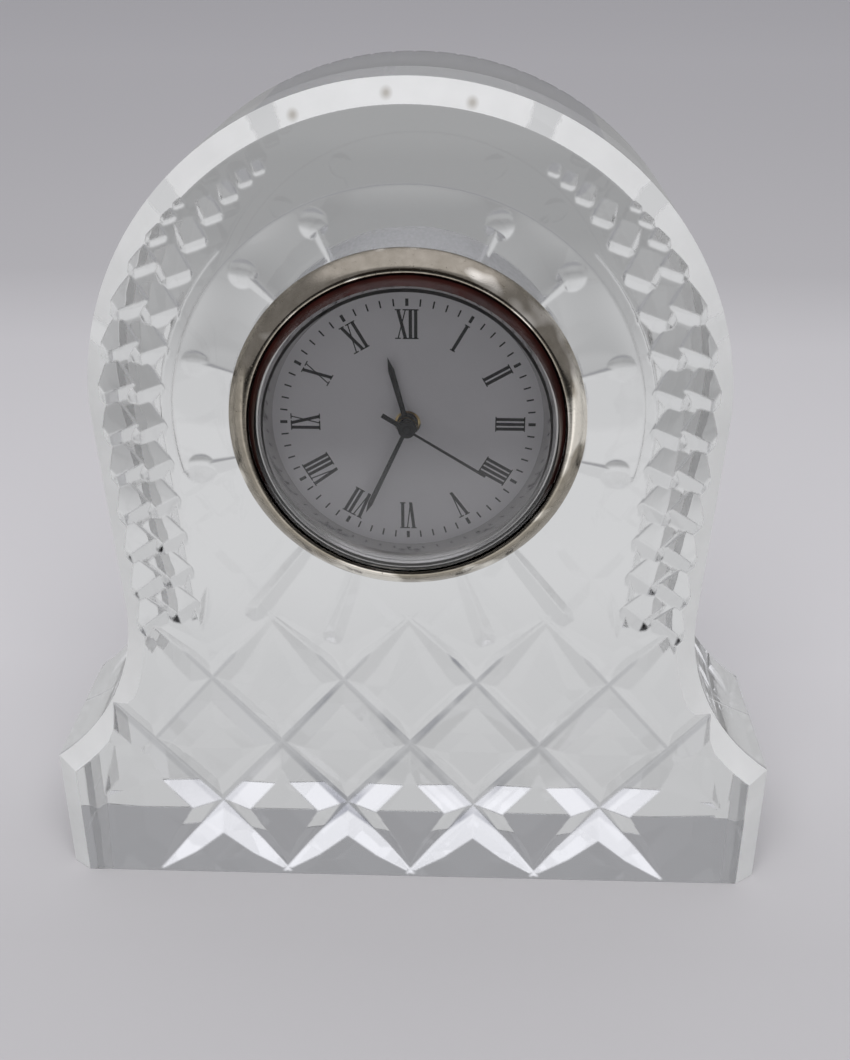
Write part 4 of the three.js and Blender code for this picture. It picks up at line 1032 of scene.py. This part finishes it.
hatch_place = middle_of("battery_hatch")
knob_place = middle_of("set_knob")
cover = turned("cover_disc", COVER, "insert", "back_cover", round_edges=0.02 * MM)
carve(cover, [bore_cut(HATCH_OPENING, hatch_place), bore_cut(ARBOR_HOLE, knob_place)])
bright_metal("nickel_cover", NICKEL, 0.24).onto(cover)

# Battery hatch
# A turned steel plug with a flange and a coin slot. It lifts off the back so that the cell can be changed.
HATCH = [
    (0, 8.25), (3.45, 8.25), (3.55, 8.35), (3.55, 9.0), (4.15, 9.0), (4.15, 9.32), (4.07, 9.4), (0, 9.4),
]
COIN_SLOT = {"half_length": 2.4 * MM, "half_width": 0.35 * MM, "floor": 9.1 * MM}


def slot_cut(centre, half_length, half_width, floor):
    """A slot with round ends, cut from the back down to its floor."""
    ends = bmesh.new()
    for end in (-1, 1):
        x = centre[0] + end * (half_length - half_width)
        peg(ends, half_width, half_length, (x, FRONT + floor + half_length / 2, DIAL_HEIGHT + centre[1]))
    slot = hull([vert.co.copy() for vert in ends.verts])
    ends.free()
    return slot


hatch = turned("hatch_plug", HATCH, "hatch", "battery_hatch", SMALL_STEPS, hatch_place)
carve(hatch, [slot_cut(hatch_place, **COIN_SLOT)])
bright_metal("nickel_hatch", NICKEL, 0.2, centre=hatch_place).onto(hatch)

# Button cell
# A small steel cell: a can and a smaller cap, pressed together over a dark nylon seal.
CELL = [
    (0, 5.5), (2.62, 5.5), (2.7, 5.58), (2.7, 5.72), (3.25, 5.7), (3.4, 5.9), (3.4, 7.95), (3.25, 8.1),
    (0, 8.1),
]
SEAL = (2.7 * MM, 2.9 * MM)
SEAL_DEPTH = 5.8 * MM


def cell_steel():
    """Bright steel, a little stained, with the dark seal showing in front between the can and its cap."""
    paint = bright_metal("cell_steel", (0.56, 0.56, 0.55), 0.16, centre=hatch_place)
    radius = paint.round_axis(hatch_place)[0]
    in_front = 1 - paint.coordinate("Y").above(FRONT + SEAL_DEPTH)
    seal = radius.above(SEAL[0]) * (1 - radius.above(SEAL[1])) * in_front
    steel = paint.mix(paint.noise(1.5 * MM, 4), (0.60, 0.60, 0.59), (0.48, 0.48, 0.47))
    paint.wear(Base_Color=paint.mix(seal, steel, (0.03, 0.03, 0.035)), Metallic=1 - seal)
    return paint


cell = turned("cell_can", CELL, "cell", "battery", SMALL_STEPS, middle_of("battery"), 0.03 * MM)
cell_steel().onto(cell)

# Setting knob
# A moulded plastic knob with sixteen flutes and a dished end, pressed on the setting arbor.
KNOB = [
    (0, 10.0), (0.5, 10.0), (0.5, 9.3), (2.5, 9.3), (2.6, 9.4), (2.6, 11.12), (2.42, 11.3), (1.9, 11.3),
    (1.7, 11.12), (0, 11.12),
]
KNOB_FLUTES = 16
KNOB_RADIUS = 2.6 * MM
KNOB_FLUTE = (0.27 * MM, 0.05 * MM)


def knob_flutes():
    """Round grooves along the knob's edge, for the fingers."""
    radius, outside = KNOB_FLUTE
    reach = KNOB_RADIUS + outside
    x, z = knob_place
    for i in range(KNOB_FLUTES):
        angle = 2 * math.pi * i / KNOB_FLUTES
        yield bore_cut(radius, (x + reach * math.sin(angle), z + reach * math.cos(angle)))


def moulded_plastic(name, colour, worn, roughness=0.42):
    """Moulded plastic with the fine spark-eroded grain of its mould, a little paler where it is handled."""
    paint = Paint(name)
    grain = paint.noise(0.06 * MM, 2)
    handled = paint.fade(paint.noise(1.2 * MM, 4), 0.45, 0.7)
    paint.mottle(handled, colour, worn, roughness + grain * 0.12, -0.1)
    paint.dent(grain, 0.006 * MM)
    return paint


knob = turned("knob_fluted", KNOB, "set_arbor", "set_knob", SMALL_STEPS, knob_place, 0.03 * MM)
carve(knob, knob_flutes())
moulded_plastic("knob_plastic", (0.02, 0.02, 0.021), (0.045, 0.045, 0.045)).onto(knob)

# Plates, bridge and screws
# The pillar plate is moulded in white plastic. A stamped brass bridge carries the back pivots of the train,
# and three slotted steel screws hold it on the pillars.


def finish_nodes(paint, *names):
    """Gives CAD nodes that keep their own shape a finish."""
    for name in names:
        for slot in frame["nodes"][name].material_slots:
            slot.material = paint.material


def worked_metal(name, colour, dull, roughness, grain=0.1 * MM, stretch=(1, 1, 0.15)):
    """Stamped or turned metal: fine strokes along its rolling direction, and faint tarnish."""
    paint = Paint(name, Metallic=1.0)
    strokes = paint.noise(grain, 3, stretch)
    tarnish = paint.fade(paint.noise(1.3 * MM, 4), 0.4, 0.75)
    paint.mottle(tarnish, colour, dull, roughness + strokes * 0.15, 0.1)
    paint.dent(strokes, 0.003 * MM)
    return paint


finish_nodes(moulded_plastic("plate_plastic", (0.78, 0.78, 0.74), (0.70, 0.69, 0.64)), "main_plate")
finish_nodes(worked_metal("bridge_brass", (0.78, 0.60, 0.30), (0.58, 0.42, 0.19), 0.25), "train_bridge")
finish_nodes(
    worked_metal("screw_steel", (0.55, 0.56, 0.58), (0.40, 0.40, 0.41), 0.2),
    "bridge_screw_1", "bridge_screw_2", "bridge_screw_3")

# Wheels and arbors
# The wheels are stamped from sheet brass. Their pinions and arbors are drawn and turned steel.
finish_nodes(
    worked_metal("wheel_brass", (0.80, 0.62, 0.32), (0.62, 0.45, 0.20), 0.22, 0.06 * MM, (1, 1, 1)),
    "intermediate_wheel", "second_wheel", "third_wheel", "centre_wheel", "motion_wheel", "hour_wheel")
finish_nodes(
    worked_metal("arbor_steel", (0.60, 0.60, 0.61), (0.46, 0.46, 0.46), 0.18, 0.05 * MM, (0.15, 1, 1)),
    "rotor_pinion", "cannon_pinion", "set_pinion")

# Motor
# A small stepping motor: a sintered magnet turns in a soft iron stator, driven by a coil of enamelled
# copper wire wound on a bar of the same iron.
WIRE = 0.09 * MM


def copper_winding():
    """Turns of enamelled copper lie side by side along the bar."""
    paint = Paint("copper_winding", Metallic=0.6, Coat_Weight=0.4)
    along = paint.coordinate("X")
    turns = along.maths("SINE", along * (2 * math.pi / WIRE)) * 0.5 + 0.5
    shade = paint.noise(0.5 * MM, 3)
    copper = paint.mix(shade, (0.62, 0.25, 0.12), (0.50, 0.18, 0.08))
    paint.wear(Base_Color=paint.mix(turns, (0.20, 0.06, 0.025), copper), Roughness=0.25 + shade * 0.15)
    paint.dent(turns, 0.3 * WIRE)
    return paint


finish_nodes(
    worked_metal("magnet_grey", (0.10, 0.10, 0.11), (0.06, 0.06, 0.065), 0.4, 0.03 * MM), "rotor_magnet")
finish_nodes(worked_metal("core_iron", (0.46, 0.45, 0.44), (0.34, 0.32, 0.30), 0.32), "stator", "coil_core")
finish_nodes(copper_winding(), "coil_winding")

# Board and contacts
# A small glass-fibre board with green solder mask carries the resonator can and the chip under its drop of
# resin. Two bent phosphor-bronze springs bring the cell's current to it.
TRACK_PITCH = 1.4 * MM


def green_board():
    """Solder mask over copper tracks: the tracks show through as paler, slightly raised lanes."""
    paint = Paint("green_board", Coat_Weight=0.3)
    cells = {0: paint.place(), "Scale": 1 / TRACK_PITCH}
    tracks = 1 - paint.fade(paint.node("TexVoronoi", {"feature": "DISTANCE_TO_EDGE"}, cells), 0.06, 0.09)
    weave = paint.noise(0.15 * MM, 2)
    mask = paint.mix(weave, (0.01, 0.09, 0.045), (0.012, 0.07, 0.035))
    paint.wear(Base_Color=paint.mix(tracks, mask, (0.03, 0.17, 0.08)), Roughness=0.35 + weave * 0.1)
    paint.dent(tracks, 0.02 * MM)
    return paint


finish_nodes(green_board(), "circuit_board")
finish_nodes(worked_metal("can_steel", (0.62, 0.61, 0.60), (0.52, 0.51, 0.50), 0.15), "quartz_can")
finish_nodes(moulded_plastic("chip_resin", (0.012, 0.012, 0.013), (0.02, 0.02, 0.02), 0.3), "driver_chip")
finish_nodes(
    worked_metal("contact_brass", (0.76, 0.55, 0.33), (0.60, 0.40, 0.22), 0.25),
    "negative_contact", "positive_contact")

# Studio
# A pale floor under a wide soft ceiling of light, with greyer walls and a dark patch of shade behind the
# camera, so that the cut facets have something light and something dark to show. Light and shade are painted
# into the floor's greys: FLOOR for the camera, GLOW glowing through the glass, and MIRRORED in reflections.
FLOOR_SIZE = 4
FLOOR_DROP = 0.05 * MM
FLOOR = [(-0.017, 0.465), (0.028, 0.577), (0.145, 0.577), (0.2, 0.50), (0.62, 0.572)]
FLOOR_TINT = (1.01, 0.99, 1.01)
GLOW = [
    (-0.15, 0.56), (-0.01, 0.52), (0.06, 0.62), (0.12, 0.62), (0.165, 0.44), (0.24, 0.34), (0.345, 0.34),
    (0.39, 0.365), (0.5, 0.365),
]
MIRRORED = [
    (-0.155, 0.02), (-0.118, 0.12), (-0.101, 1), (-0.06, 1), (-0.045, 0.6), (0.02, 0.6), (0.16, 0.43),
    (0.5, 0.37),
]
GLOW_TINT = (0.995, 0.995, 1.01)
WALL = (0.315, 0.315, 0.33)
CEILING = (0.9, 0.9, 0.95)
CEILING_EDGE = (0.68, 0.80)
SHADE = (0.03, 0.022, 0.018)
SHADE_TOWARDS = (0, -0.97, 0.24)
SHADE_EDGE = (0.90, 0.95)
LAMP_SIZE = (0.5, 0.3)
LAMP_POWER = 2.2
LAMP_PLACE = Vector((0, -0.3, 0.45))
LAMP_AIM = Vector((0, 0, 0.03))

bm = bmesh.new()
bmesh.ops.create_grid(bm, x_segments=1, y_segments=1, size=FLOOR_SIZE / 2)
bmesh.ops.translate(bm, verts=bm.verts, vec=(0, 0, -FLOOR_DROP))
floor = new_piece("studio_floor", bm, None)
floor_paint = Paint("studio_floor", Roughness=0.9)
depth = floor_paint.coordinate("Y")


def painted_floor_light(levels, tint):
    """The floor's painted light and shade, from its levels of grey at a few distances behind the clock."""
    first, last = levels[0][0], levels[-1][0]
    span = last - first
    stops = [((place - first) / span, tuple(level * part for part in tint)) for place, level in levels]
    return floor_paint.ramp((depth - first) / span, *stops)


floor_paint.wear(Base_Color=painted_floor_light(FLOOR, FLOOR_TINT))
# Through glass and in reflections the floor glows, with painted light and shade of its own.
through_glass = floor_paint.node("LightPath", output="Is Transmission Ray")
painted_glow_colour = floor_paint.mix(
    through_glass, painted_floor_light(MIRRORED, GLOW_TINT), painted_floor_light(GLOW, GLOW_TINT))
glow = floor_paint.node("Emission", None, {"Color": painted_glow_colour})
seen_directly = floor_paint.node("LightPath", output="Is Camera Ray")
floor_paint.join(seen_directly, glow, floor_paint.coat())
floor_paint.onto(floor)

world = bpy.context.scene.world or bpy.data.worlds.new("studio")
bpy.context.scene.world = world
world.use_nodes = True
room = Graph(world.node_tree, world.node_tree.nodes["Background"])
towards = room.node("TexCoord", output="Generated")
height = room.node("SeparateXYZ", None, {0: towards}, "Z")
light = room.ramp(height, (CEILING_EDGE[0], WALL), (CEILING_EDGE[1], CEILING))
facing = room.node("VectorMath", {"operation": "DOT_PRODUCT"}, {0: towards, 1: SHADE_TOWARDS}, "Value")
unseen = 1 - room.node("LightPath", output="Is Camera Ray")
shaded = room.fade(facing, *SHADE_EDGE) * unseen
room.set(room.shader, {"Color": room.mix(shaded, light, SHADE), "Strength": 1.0})

lamp_data = bpy.data.lights.new("ceiling", "AREA")
lamp_data.shape = "RECTANGLE"
lamp_data.size, lamp_data.size_y = LAMP_SIZE
lamp_data.energy = LAMP_POWER
lamp = bpy.data.objects.new("ceiling", lamp_data)
lamp.location = LAMP_PLACE
lamp.rotation_euler = (LAMP_AIM - LAMP_PLACE).to_track_quat("-Z", "Y").to_euler()
lamp.visible_glossy = False
lamp.visible_transmission = False
bpy.context.scene.collection.objects.link(lamp)

# Camera
# It stands where the photograph was taken, a hand's breadth in front of the dial and a little above it. Its
# place is given in radii of the minute track, and its focal length in pixels of the photograph.
CAMERA_PLACE = (0.465, -9.519, 3.846)
CAMERA_PITCH = math.radians(26.716)
CAMERA_YAW = math.radians(1.949)
FOCAL_PIXELS = 1275.15
PHOTO_HEIGHT = 1060
SENSOR = 36

camera_data = bpy.data.cameras.new("camera")
camera_data.sensor_width = SENSOR
camera_data.lens = SENSOR * FOCAL_PIXELS / PHOTO_HEIGHT
camera_data.clip_start = 5 * MM
camera_data.clip_end = 10
camera = bpy.data.objects.new("camera", camera_data)
camera.location = Vector((0, FRONT, DIAL_HEIGHT)) + TRACK_RADIUS * Vector(CAMERA_PLACE)
camera.rotation_euler = (math.pi / 2 - CAMERA_PITCH, 0, CAMERA_YAW)
bpy.context.scene.collection.objects.link(camera)
bpy.context.scene.camera = camera
bpy.context.scene.view_settings.view_transform = "Standard"
